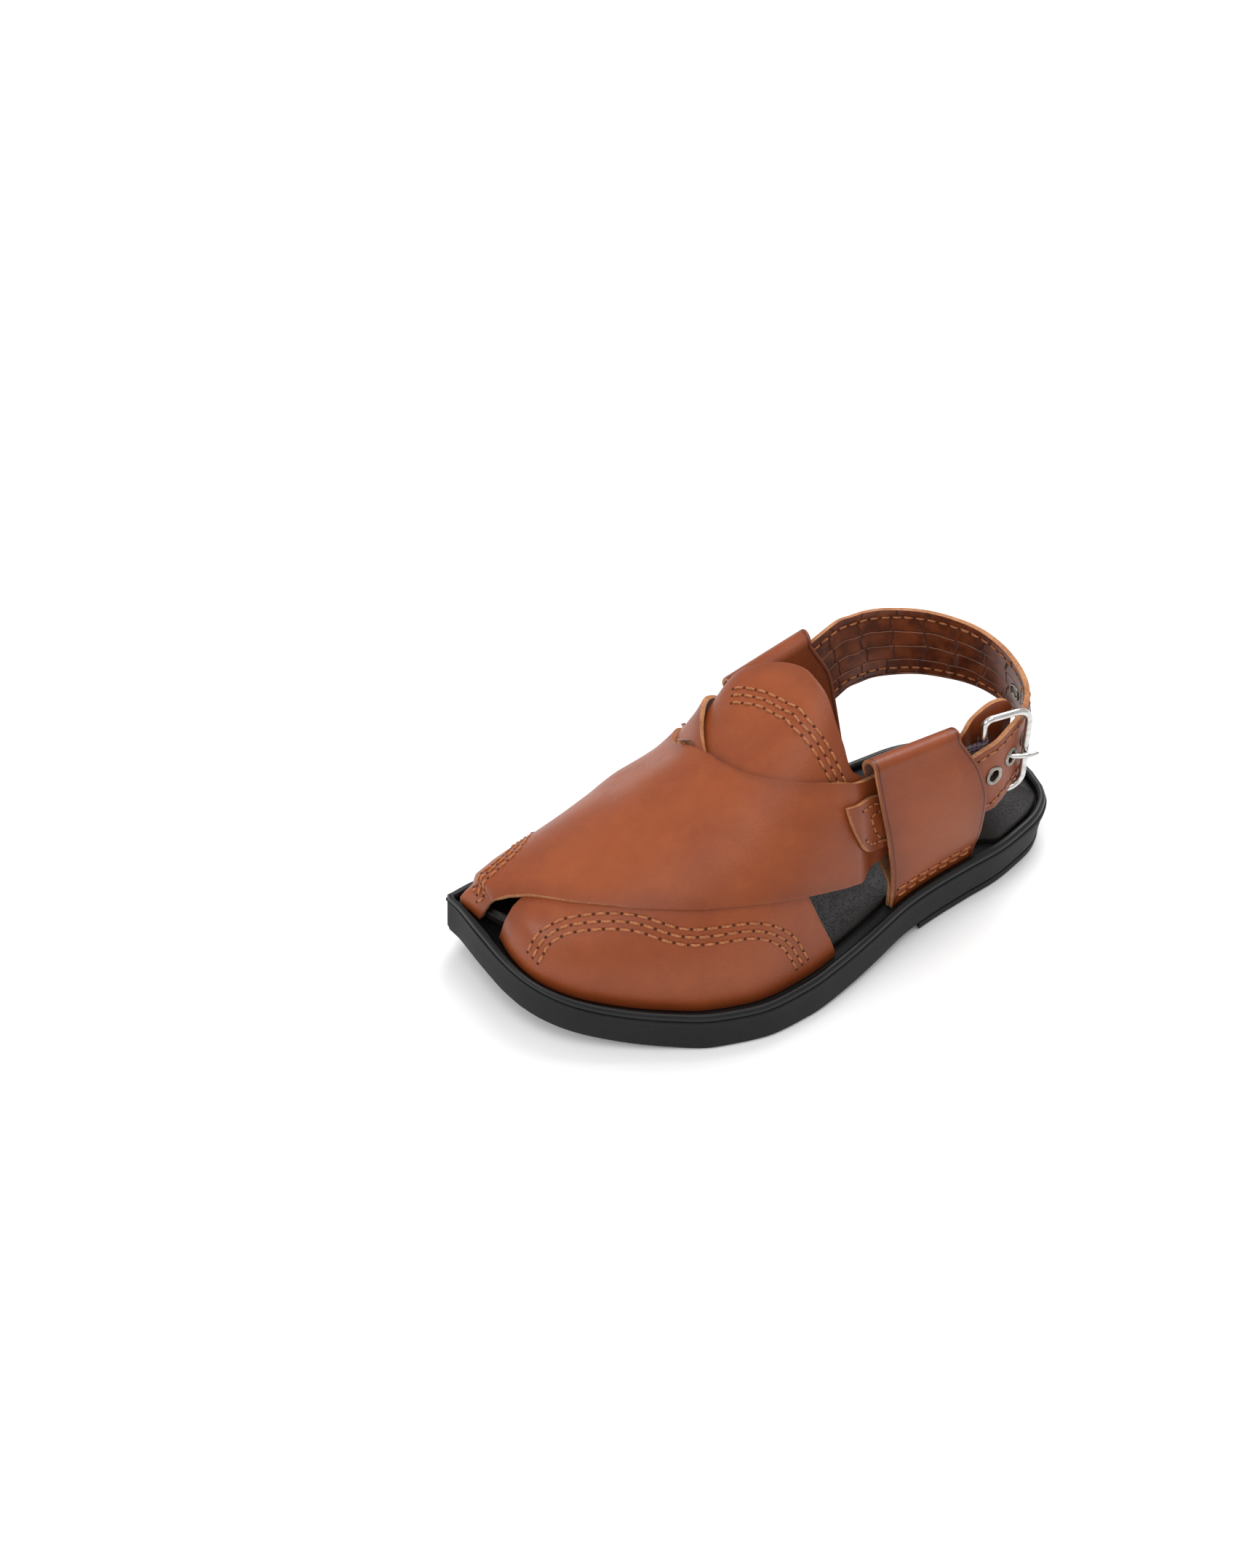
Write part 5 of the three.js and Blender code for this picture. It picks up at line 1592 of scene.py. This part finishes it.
@dataclass(frozen=True)
class Vamp:
    """The two crossed bands and the tongue, with their rows of stitches."""

    columns: int = 84
    under_rows: Path = (
        (0.928, 0.139), (0.915, 0.232), (0.901, 0.287), (0.884, 0.318), (0.868, 0.332), (0.831, 0.326),
        (0.775, 0.291), (0.707, 0.207), (0.603, 0.148), (0.546, 0.079), (0.516, 0.018),
    )
    toe_rows: Path = (
        (0.984, 0.44), (0.975, 0.53), (0.956, 0.61), (0.927, 0.643), (0.897, 0.679), (0.859, 0.791),
        (0.84, 0.9),
    )
    tongue_rows: Path = TONGUE_STITCHES
    row_gap: float = 2.35
    rounding: float = 0.32
    tongue_front: float = 0.597
    tongue_columns: int = 44
    tongue_stations: int = 90
    inside: tuple[float, float, float] = (110, 0, 0)

    def over_place(self, along: Array, girth: Array) -> Array:
        """Outer face of the band on top."""
        return tail_point(Side.OUTER, along, girth, over_lift(along, girth))

    def under_place(self, along: Array, girth: Array) -> Array:
        """Outer face of the band below."""
        return tail_point(Side.INNER, along, girth, 0.0 * np.asarray(girth))

    def tongue_place(self, along: Array, girth: Array) -> Array:
        """Outer face of the tongue."""
        along, girth = np.broadcast_arrays(np.asarray(along, float), np.asarray(girth, float))
        return LAST.point(along, girth, np.full(along.shape, -SIZE.tongue_depth))

    def band(self, name: str, stretches: list[Stretch], place: Place) -> bpy.types.Object:
        """One band through its stretches, drawn in the last's chart."""
        charts = [stretch.chart(self.columns) for stretch in stretches]
        chart = np.concatenate([charts[0], *[rows[1:] for rows in charts[1:]]])
        points = place(chart[..., 0], chart[..., 1])
        flip = faces_in(points, self.inside)
        return Bench.leather(name, points, SIZE.leather, "suede", flip, self.rounding)

    def build_over(self) -> bpy.types.Object:
        """The band on top: from the outer loop over the instep and round the toe to the inner side."""
        throat = OVER_TOP.rows[-1]
        toe = run_along(OVER_FRONT, 0.955, 0.978, 30)
        nose = run_along(OVER_FRONT, 0.978, 0.987, 50)
        stretches = [
            Stretch(run_along(OVER_FRONT, 0.3, 0.58), run_through(OVER_TOP), 64),
            Stretch(run_along(OVER_FRONT, 0.58, 0.74), straight(throat, throat), 26),
            Stretch(run_along(OVER_FRONT, 0.74, 0.85), run_through(OVER_BACK), 44),
            Stretch(run_along(OVER_FRONT, 0.85, 0.955), straight((0.45, 1), (0.95, 1)), 64),
            Stretch(toe, straight((0.95, 1), (0.985, 1)), 14),
            Stretch(nose, straight((0.985, 1), (0.995, 1)), 26),
            Stretch(straight((0.987, 0), (1.0, 0)), straight((0.995, 1), (1.0, 1)), 10),
        ]
        return self.band("vamp_over_band", stretches, self.over_place)

    def build_under(self) -> bpy.types.Object:
        """The band below: from the inner loop under the other one to the outer side of the toe."""
        stretches = [
            Stretch(run_along(UNDER_FRONT, 0.4, 0.66), run_through(UNDER_TOP), 50),
            Stretch(run_along(UNDER_FRONT, 0.66, 0.8), run_through(UNDER_BACK), 50),
            Stretch(run_along(UNDER_FRONT, 0.8, 0.95), straight((0.461, 0), (0.93, 0)), 70),
            Stretch(run_along(UNDER_FRONT, 0.95, 0.972), straight((0.93, 0), (0.9715, 0)), 26),
        ]
        return self.band("vamp_under_band", stretches, self.under_place)

    def build_tongue(self) -> bpy.types.Object:
        """The tongue under the bands at the instep."""
        edge = TONGUE_BACK.curve("girth", "along")
        girth = np.linspace(TONGUE_BACK.rows[0][0], TONGUE_BACK.rows[-1][0], self.tongue_stations)
        share = np.linspace(0, 1, self.tongue_columns)
        along = edge(girth)[:, None] * (1 - share) + self.tongue_front * share
        points = self.tongue_place(along, np.repeat(girth[:, None], self.tongue_columns, axis=1))
        flip = faces_in(points, self.inside)
        return Bench.leather("tongue_leather", points, SIZE.leather, "suede", flip, self.rounding)

    def sew(self) -> None:
        """The rows of stitches on the bands and the tongue."""
        sewing = Sewing("vamp")
        for row in range(3):
            sewing.sew(*on_chart(self.under_place, np.array(self.under_rows), -row * self.row_gap))
            sewing.sew(*on_chart(self.over_place, np.array(self.toe_rows), (row - 1) * self.row_gap))
            sewing.sew(*on_chart(self.tongue_place, np.array(self.tongue_rows), -row * self.row_gap))
        sewing.finish()

    def build(self) -> None:
        """Builds the bands, the tongue and the stitches."""
        over = self.build_over()
        under = self.build_under()
        Bench.finish(over, "tan_leather", "upper")
        Bench.finish(under, "tan_leather", "upper")
        Bench.finish(self.build_tongue(), "tan_leather", "tongue")
        self.sew()


@dataclass(frozen=True)
class SideLoop:
    """A side loop: leather folded over at the top, sewn through at its foot."""

    name: str
    node: str
    face: LoopFace
    split: float = 0.16
    open_from: float = 0.3
    rows: tuple[float, float] = (3.5, 6.3)
    rows_up: int = 34
    fold_count: int = 14
    columns: int = 44
    wall: float = 1.32
    rounding: float = 0.3
    row_ends: tuple[float, float] = (0.06, 0.94)
    row_count: int = 120

    def section(self, length: float) -> Array:
        """The folded leather's outer line at a length, from one foot over the fold to the other."""
        shares = np.linspace(0, 1, self.rows_up)
        outer = self.face.face(length, shares)
        thick = blend(SIZE.loop_outer + SIZE.loop_inner, LOOP_THICKNESS,
                      smooth((shares - self.split) / (self.open_from - self.split)))
        back = blend(self.face.cutback * (1 - shares**2), 1.0, length)
        inner = self.face.face(back, shares) + self.face.inward(back, shares) * thick[:, None]
        start, end = outer[-1], inner[-1]
        centre, across = (start + end) / 2, unit(start - end)
        radius = np.linalg.norm(start - end) / 2
        turn = np.linspace(0, np.pi, self.fold_count)[1:-1, None]
        cap = centre + across * radius * np.cos(turn) + np.array([0, 0, 1.0]) * radius * np.sin(turn)
        return np.concatenate([outer, cap, inner[::-1]])

    def build(self) -> None:
        """Builds the loop and its stitches."""
        lengths = np.linspace(0, 1, self.columns)
        points = np.stack([self.section(length) for length in lengths], axis=1)
        centre = points.mean(axis=(0, 1))
        flip = faces_in(points, centre)
        piece = Bench.leather(self.name, points, self.wall, "suede", flip, self.rounding, "creased")
        Bench.finish(piece, "tan_leather", self.node)
        sewing = Sewing(self.name)
        length = np.linspace(*self.row_ends, self.row_count)
        for height in self.rows:
            share = height / (SIZE.loop_height - SIZE.heel_top) * np.ones_like(length)
            sewing.sew(self.face.face(length, share), -self.face.inward(length, share))
        sewing.finish()


@dataclass(frozen=True)
class HeelStrap:
    """The heel strap with its lining, its stitched edges and its eyelets."""

    columns: int = 13
    rows: int = 300
    stitch_inset: float = 2.6
    pitch: float = 3.6
    thread: float = 0.8
    stitch_lift: float = 0.02
    row_start: float = 2
    row_stop: float = 9.5
    slant: float = 0.12
    heel_rows: int = 29
    tip_start: tuple[float, float] = (0.335, 0.362)
    tip_run: tuple[float, float] = (0.365, 0.431)
    tip_rows: int = 34
    rounding: float = 0.4
    hole_faces: int = 28
    cutter_depth: float = 0.008
    ring_turns: int = 9
    ring_faces: int = 41
    ring_angle: float = 50
    inside: tuple[float, float, float] = (80, -4, 45)

    def middle_grid(self) -> Array:
        """Middle surface of the strap from the inner loop round the heel to its tip on the vamp."""
        across = np.linspace(0, 1, self.columns)

        def run(face: LoopFace, table: Table) -> list[Array]:
            """Rows inside a side loop."""
            made = []
            for along, low, high in table.rows:
                up = blend(low, high, across)
                x = (along + (up - (low + high) / 2) * self.slant) * SIZE.length
                made.append(face.within(x, up * SIZE.loop_height, STRAP_DEPTH))
            return made

        heel = []
        for station in np.linspace(0, STRAP.last, self.heel_rows):
            middle, _, width, _ = STRAP.frame(station)
            heel.append(middle + width * ((across - 0.5) * SIZE.strap)[:, None])
        lift = SIZE.step + SIZE.tip_gap + SIZE.strap_wall / 2

        def tip(places: Array) -> list[Array]:
            """Rows on the vamp."""
            low, high = STRAP_TIP.curve("along", "low"), STRAP_TIP.curve("along", "high")
            made = []
            for along in places:
                girth = blend(low(along), high(along), across)
                made.append(tail_point(Side.OUTER, np.full(self.columns, along), girth, lift))
            return made

        run_in, run_out = run(INNER_FACE, STRAP_INNER_END), run(OUTER_FACE, STRAP_OUTER_RUN)
        control = np.stack([*run_in, *heel, *run_out, *tip(np.array(self.tip_start))])
        end = tip(np.linspace(*self.tip_run, self.tip_rows))
        return np.concatenate([through(control, self.rows), end])

    def punch(self, strap: bpy.types.Object) -> None:
        """Cuts the round holes for the eyelets."""
        for station in EYELET_STATIONS:
            middle, _, _, out = STRAP.frame(station)
            Bench.clear()
            bpy.ops.mesh.primitive_cylinder_add(
                vertices=self.hole_faces, radius=(SIZE.eyelet_hole / 2 + SIZE.eyelet_wall) / MM_PER_M,
                depth=self.cutter_depth, location=metres(middle),
                rotation=Vector(out).to_track_quat("Z", "Y").to_euler())
            cutter = bpy.context.active_object
            Bench.apply(strap, "BOOLEAN", {"operation": "DIFFERENCE", "solver": "EXACT", "object": cutter})
            Bench.pick(cutter)
            bpy.ops.object.delete()

    def build_strap(self) -> tuple[Array, Array]:
        """The strap itself, and the middle grid with its normals that the stitches follow."""
        grid = self.middle_grid()
        across = np.gradient(grid, axis=1)
        along = np.gradient(grid, axis=0)
        normal = unit(np.cross(across, along))
        flip = faces_in(grid, self.inside)
        normal = -normal if flip else normal
        face = grid + normal * SIZE.strap_wall / 2
        piece = Bench.leather("heel_strap_leather", face, SIZE.strap_wall, "lining", flip, self.rounding)
        self.punch(piece)
        Bench.soften(piece)
        Bench.finish(piece, "tan_leather", "heel_strap")
        return grid, normal

    def edge_row(self, grid: Array, low_edge: bool) -> Array:
        """Middle line of a row of stitches beside an edge, as shares between the columns."""
        widths = np.linalg.norm(grid[:, -1] - grid[:, 0], axis=1)
        share = np.clip(self.stitch_inset / widths, 0, 0.45)
        share = share if low_edge else 1 - share
        at = share * (self.columns - 1)
        low = np.clip(np.floor(at).astype(int), 0, self.columns - 2)
        weight = (at - low)[:, None]
        rows = np.arange(len(grid))
        return grid[rows, low] * (1 - weight) + grid[rows, low + 1] * weight

    def sew(self, grid: Array, normals: Array) -> None:
        """Rows beside both edges on the outer face and on the lining, and the tip's row."""
        sewing = Sewing("heel_strap", self.pitch, self.thread)
        normal = normals[:, self.columns // 2]
        lengths = np.linalg.norm(np.diff(grid[:, self.columns // 2], axis=0), axis=1)
        reach = np.concatenate([[0], np.cumsum(lengths)])
        keep = (reach > self.row_start) & (reach < reach[-1] - self.row_stop)
        for low_edge in (True, False):
            line = self.edge_row(grid, low_edge)
            for side in (1, -1):
                offset = normal * side * (SIZE.strap_wall / 2 + self.stitch_lift)
                sewing.sew((line + offset)[keep], (normal * side)[keep])
        self.sew_tip(sewing)
        sewing.finish()

    def sew_tip(self, sewing: Sewing) -> None:
        """The stitches that follow the tip's two edges to its point."""
        lift = SIZE.step + SIZE.tip_gap + SIZE.strap_wall + self.stitch_lift

        def place(along: Array, girth: Array) -> Array:
            """Outer face of the tip."""
            return tail_point(Side.OUTER, along, girth, lift)

        for corner in TIP_STITCHES:
            sewing.sew(*on_chart(place, np.array(corner)))

    def build_eyelets(self) -> None:
        """The rings in the strap's holes."""
        near = SIZE.strap_wall / 2
        bore = SIZE.eyelet_hole / 2
        tube = bore + SIZE.eyelet_wall
        flange = SIZE.eyelet / 2
        turn = np.linspace(0, np.pi, self.ring_turns)
        rear = flange - SIZE.eyelet_wall
        rim = [(blend(bore, flange, (1 - np.cos(t)) / 2), near + 0.12 + np.sin(t) * 0.5) for t in turn]
        back = [(blend(bore, rear, (1 + np.cos(t)) / 2), -near - 0.08 - np.sin(t) * 0.36) for t in turn]
        profile = np.array([*rim, (flange, near), (tube, near), (tube, -near), (rear, -near), *back, rim[0]])
        for number, station in enumerate(EYELET_STATIONS, 1):
            middle, travel, width, out = STRAP.frame(station)
            angle = np.linspace(0, 2 * np.pi, self.ring_faces)[:, None, None]
            radial = travel * np.cos(angle) + width * np.sin(angle)
            rings = middle + radial * profile[None, :, :1] + out * profile[None, :, 1:]
            piece = Bench.sheet(f"eyelet_ring_{number}", rings, rounded=True)
            Bench.weld(piece)
            Bench.wear(piece, "dull")
            Bench.soften(piece, self.ring_angle)
            Bench.finish(piece, "dull_nickel", f"eyelet_{number}")

    def build(self) -> None:
        """Builds the strap, its stitches and its eyelets."""
        self.sew(*self.build_strap())
        self.build_eyelets()


@dataclass(frozen=True)
class Buckle:
    """Wire buckle with its pin, the woven band round its bar and the leather guard behind it."""

    pin_loop: float = SIZE.wire / 2 + 0.15 + SIZE.pin / 2
    wire_faces: int = 24
    pin_faces: int = 20
    pin_rows: int = 70
    pin_point: int = 10
    thin: float = 0.001
    corner_rows: int = 10
    metal_angle: float = 60
    hook_turns: tuple[float, ...] = (95, 75, 35, -5, -45, -90)
    web_turns: tuple[float, ...] = (90, 110, 135, 160, 180, 205, 225, 250, 270, 292, 315)
    web_columns: int = 9
    web_rows: int = 90
    web_rounding: float = 0.15
    guard_columns: int = 20
    guard_rows: int = 70
    guard_rounding: float = 0.28
    guard_extra: float = 0.1
    inside: tuple[float, float, float] = (60, -30, 45)

    def build_frame(self) -> bpy.types.Object:
        """The bent wire frame."""
        along = REAR_BAR - HINGE
        length = float(np.linalg.norm(along))
        along = along / length
        half, hinge, corner = SIZE.buckle_height / 2, SIZE.buckle_corner / 2, SIZE.buckle_corner

        def arc(a: float, b: float, radius: float, start: float) -> list[list[float]]:
            """Quarter round."""
            turns = start + np.linspace(0, np.pi / 2, self.corner_rows)
            return [[a + radius * math.cos(turn), b + radius * math.sin(turn)] for turn in turns]

        flat = np.array([
            *arc(length - corner, half - corner, corner, 0), *arc(hinge, half - hinge, hinge, np.pi / 2),
            *arc(hinge, hinge - half, hinge, np.pi),
            *arc(length - corner, corner - half, corner, np.pi * 1.5),
        ])
        path = HINGE + along * flat[:, :1] + np.array([0, 0, 1.0]) * (flat[:, 1:] + SIZE.buckle_raise)
        piece = Bench.tube("buckle_wire", path, SIZE.wire / 2, True, self.wire_faces)
        Bench.wear(piece, "bright")
        Bench.soften(piece, self.metal_angle)
        return Bench.finish(piece, "nickel", "buckle_frame")

    def build_pin(self) -> bpy.types.Object:
        """The pin from its hook round the front bar, through the strap and over the rear bar."""
        turns = np.radians(self.hook_turns)
        hook = HINGE + self.pin_loop * np.stack([np.cos(turns), np.sin(turns), 0 * turns], axis=1)
        middle, travel, _, out = STRAP.frame(STRAP.pin_station)
        back = travel if travel[0] < 0 else -travel
        over = REAR_BAR + np.array([0, self.pin_loop, 0])
        through_strap = out * SIZE.strap_wall + back * SIZE.pin / 2
        rest = np.stack([middle - through_strap, middle + through_strap, over,
                         over + np.array([-2.2, 0.25, 0]), over + np.array([-3.8, 0.2, 0])])
        rest[:, 2] = HINGE[2]
        path = resample(np.concatenate([hook, rest]), self.pin_rows)
        radii = np.full(self.pin_rows, SIZE.pin / 2)
        rounded = np.sqrt(np.clip(1 - np.linspace(0, 1, self.pin_point) ** 2, 0, 1))
        radii[-self.pin_point:] = SIZE.pin / 2 * rounded * 0.92 + self.thin
        radii[:2] = [self.thin, SIZE.pin / 2 * 0.8]
        piece = Bench.tube("buckle_prong", path, radii, False, self.pin_faces)
        Bench.wear(piece, "bright")
        Bench.soften(piece, self.metal_angle)
        return Bench.finish(piece, "nickel", "buckle_pin")

    @staticmethod
    def upright(x: float, y: float, low: float, high: float, lean: float, count: int) -> Array:
        """A column of points at a plan position."""
        z = np.linspace(low, high, count)
        return stack(np.full(count, x), y - lean * (z - HINGE[2]), z)

    @staticmethod
    def behind(x: float, low: float, high: float, depth: float, count: int) -> Array:
        """A column of points a depth behind the outer loop's face."""
        return OUTER_FACE.within(np.full(count, x), np.linspace(low, high, count), depth)

    def build_web(self) -> bpy.types.Object:
        """The woven band round the front bar."""
        radius = SIZE.wire / 2 + SIZE.clearance + SIZE.web / 2
        low, high = HINGE[2] - SIZE.web_width / 2, HINGE[2] + SIZE.web_width / 2
        count = self.web_columns
        turns = np.radians(self.web_turns)
        rows = [self.behind(along * SIZE.length, low, high, WEB_DEPTH, count) for along in WEB_TAIL]
        along, across, lean = WEB_NECK
        rows.append(self.upright(along * SIZE.length, across * SIZE.width, low, high, lean, count))
        for turn in turns:
            x, y = HINGE[0] + radius * math.cos(turn), HINGE[1] + radius * math.sin(turn)
            rows.append(self.upright(x, y, low, high, 0, count))
        points = through(np.stack(rows), self.web_rows)
        piece = Bench.sheet("buckle_webbing", points, faces_in(points, HINGE))
        Bench.wear(piece, "web")
        Bench.thicken(piece, SIZE.web)
        Bench.ease(piece, self.web_rounding, 1)
        Bench.soften(piece)
        return Bench.finish(piece, "webbing", "buckle_web")

    def build_guard(self) -> bpy.types.Object:
        """The leather guard with its rounded end."""
        count = self.guard_columns
        tall = SIZE.loop_height
        rows = [
            self.behind(along * SIZE.length, low * tall, high * tall, GUARD_DEPTH, count)
            for along, low, high in GUARD_TAIL.rows
        ]
        rows += [
            self.upright(along * SIZE.length, across * SIZE.width, low * tall, high * tall, lean, count)
            for along, across, low, high, lean in GUARD.rows
        ]
        points = through(np.stack(rows), self.guard_rows)
        flip = faces_in(points, self.inside)
        normal = unit(np.cross(np.gradient(points, axis=1), np.gradient(points, axis=0)))
        normal = -normal if flip else normal
        face = points + normal * SIZE.guard / 2
        wall = SIZE.guard + self.guard_extra
        piece = Bench.leather("buckle_guard", face, wall, "suede", flip, self.guard_rounding)
        return Bench.finish(piece, "tan_leather", "buckle_strap")

    def build(self) -> None:
        """Builds the four pieces."""
        self.build_frame()
        self.build_pin()
        self.build_web()
        self.build_guard()


@dataclass(frozen=True)
class Studio:
    """Pale floor, soft light and the camera at the photograph's angle."""

    camera_place: tuple[float, float, float] = (0.3145, 0.5688, 0.6201)
    camera_aim: tuple[float, float, float] = (-0.2461, -0.6887, -0.682)
    lens: float = 63.45
    sensor: float = 36
    floor_size: float = 9
    floor_drop: float = 0.0003
    sky: float = 0.72
    lit_point: tuple[float, float, float] = (0.07, 0, 0.03)

    def build_floor(self) -> None:
        """The floor."""
        Bench.clear()
        bpy.ops.mesh.primitive_plane_add(size=self.floor_size, location=(0, 0, -self.floor_drop))
        floor = bpy.context.active_object
        floor.name = "studio_floor"
        floor.data.materials.append(WARDROBE.get("floor"))

    def build_camera(self) -> None:
        """The camera."""
        data = bpy.data.cameras.new("photo_camera")
        data.lens, data.sensor_width = self.lens, self.sensor
        camera = bpy.data.objects.new("photo_camera", data)
        bpy.context.collection.objects.link(camera)
        camera.location = self.camera_place
        camera.rotation_euler = Vector(self.camera_aim).to_track_quat("-Z", "Y").to_euler()
        bpy.context.scene.camera = camera

    def lamp(self, name: str, place: tuple[float, float, float], size: float, power: float) -> None:
        """A square soft light aimed at the shoe."""
        data = bpy.data.lights.new(name, "AREA")
        data.energy, data.size = power, size
        lamp = bpy.data.objects.new(name, data)
        bpy.context.collection.objects.link(lamp)
        lamp.location = place
        aim = Vector(self.lit_point) - Vector(place)
        lamp.rotation_euler = aim.to_track_quat("-Z", "Y").to_euler()

    def build_light(self) -> None:
        """A bright sky and three soft boxes."""
        world = bpy.data.worlds.new("studio_sky")
        world.use_nodes = True
        sky = world.node_tree.nodes["Background"]
        sky.inputs["Color"].default_value = (1, 1, 1, 1)
        sky.inputs["Strength"].default_value = self.sky
        scene = bpy.context.scene
        scene.world = world
        scene.view_settings.view_transform = "Standard"
        self.lamp("key_light", (-0.5, -0.7, 1.3), 0.9, 15)
        self.lamp("side_light", (1.3, 0.4, 0.9), 0.7, 8)
        self.lamp("top_light", (0.1, 0.5, 1.6), 1.2, 7)

    def build(self) -> None:
        """Builds floor, camera and light."""
        self.build_floor()
        self.build_camera()
        self.build_light()


def main() -> None:
    """Builds the shoe and its studio."""
    Studio().build()
    Sole().build()
    Vamp().build()
    SideLoop("outer_loop_leather", "side_loop_outer", OUTER_FACE).build()
    SideLoop("inner_loop_leather", "side_loop_inner", INNER_FACE).build()
    HeelStrap().build()
    Buckle().build()


if __name__ == "__main__":
    main()
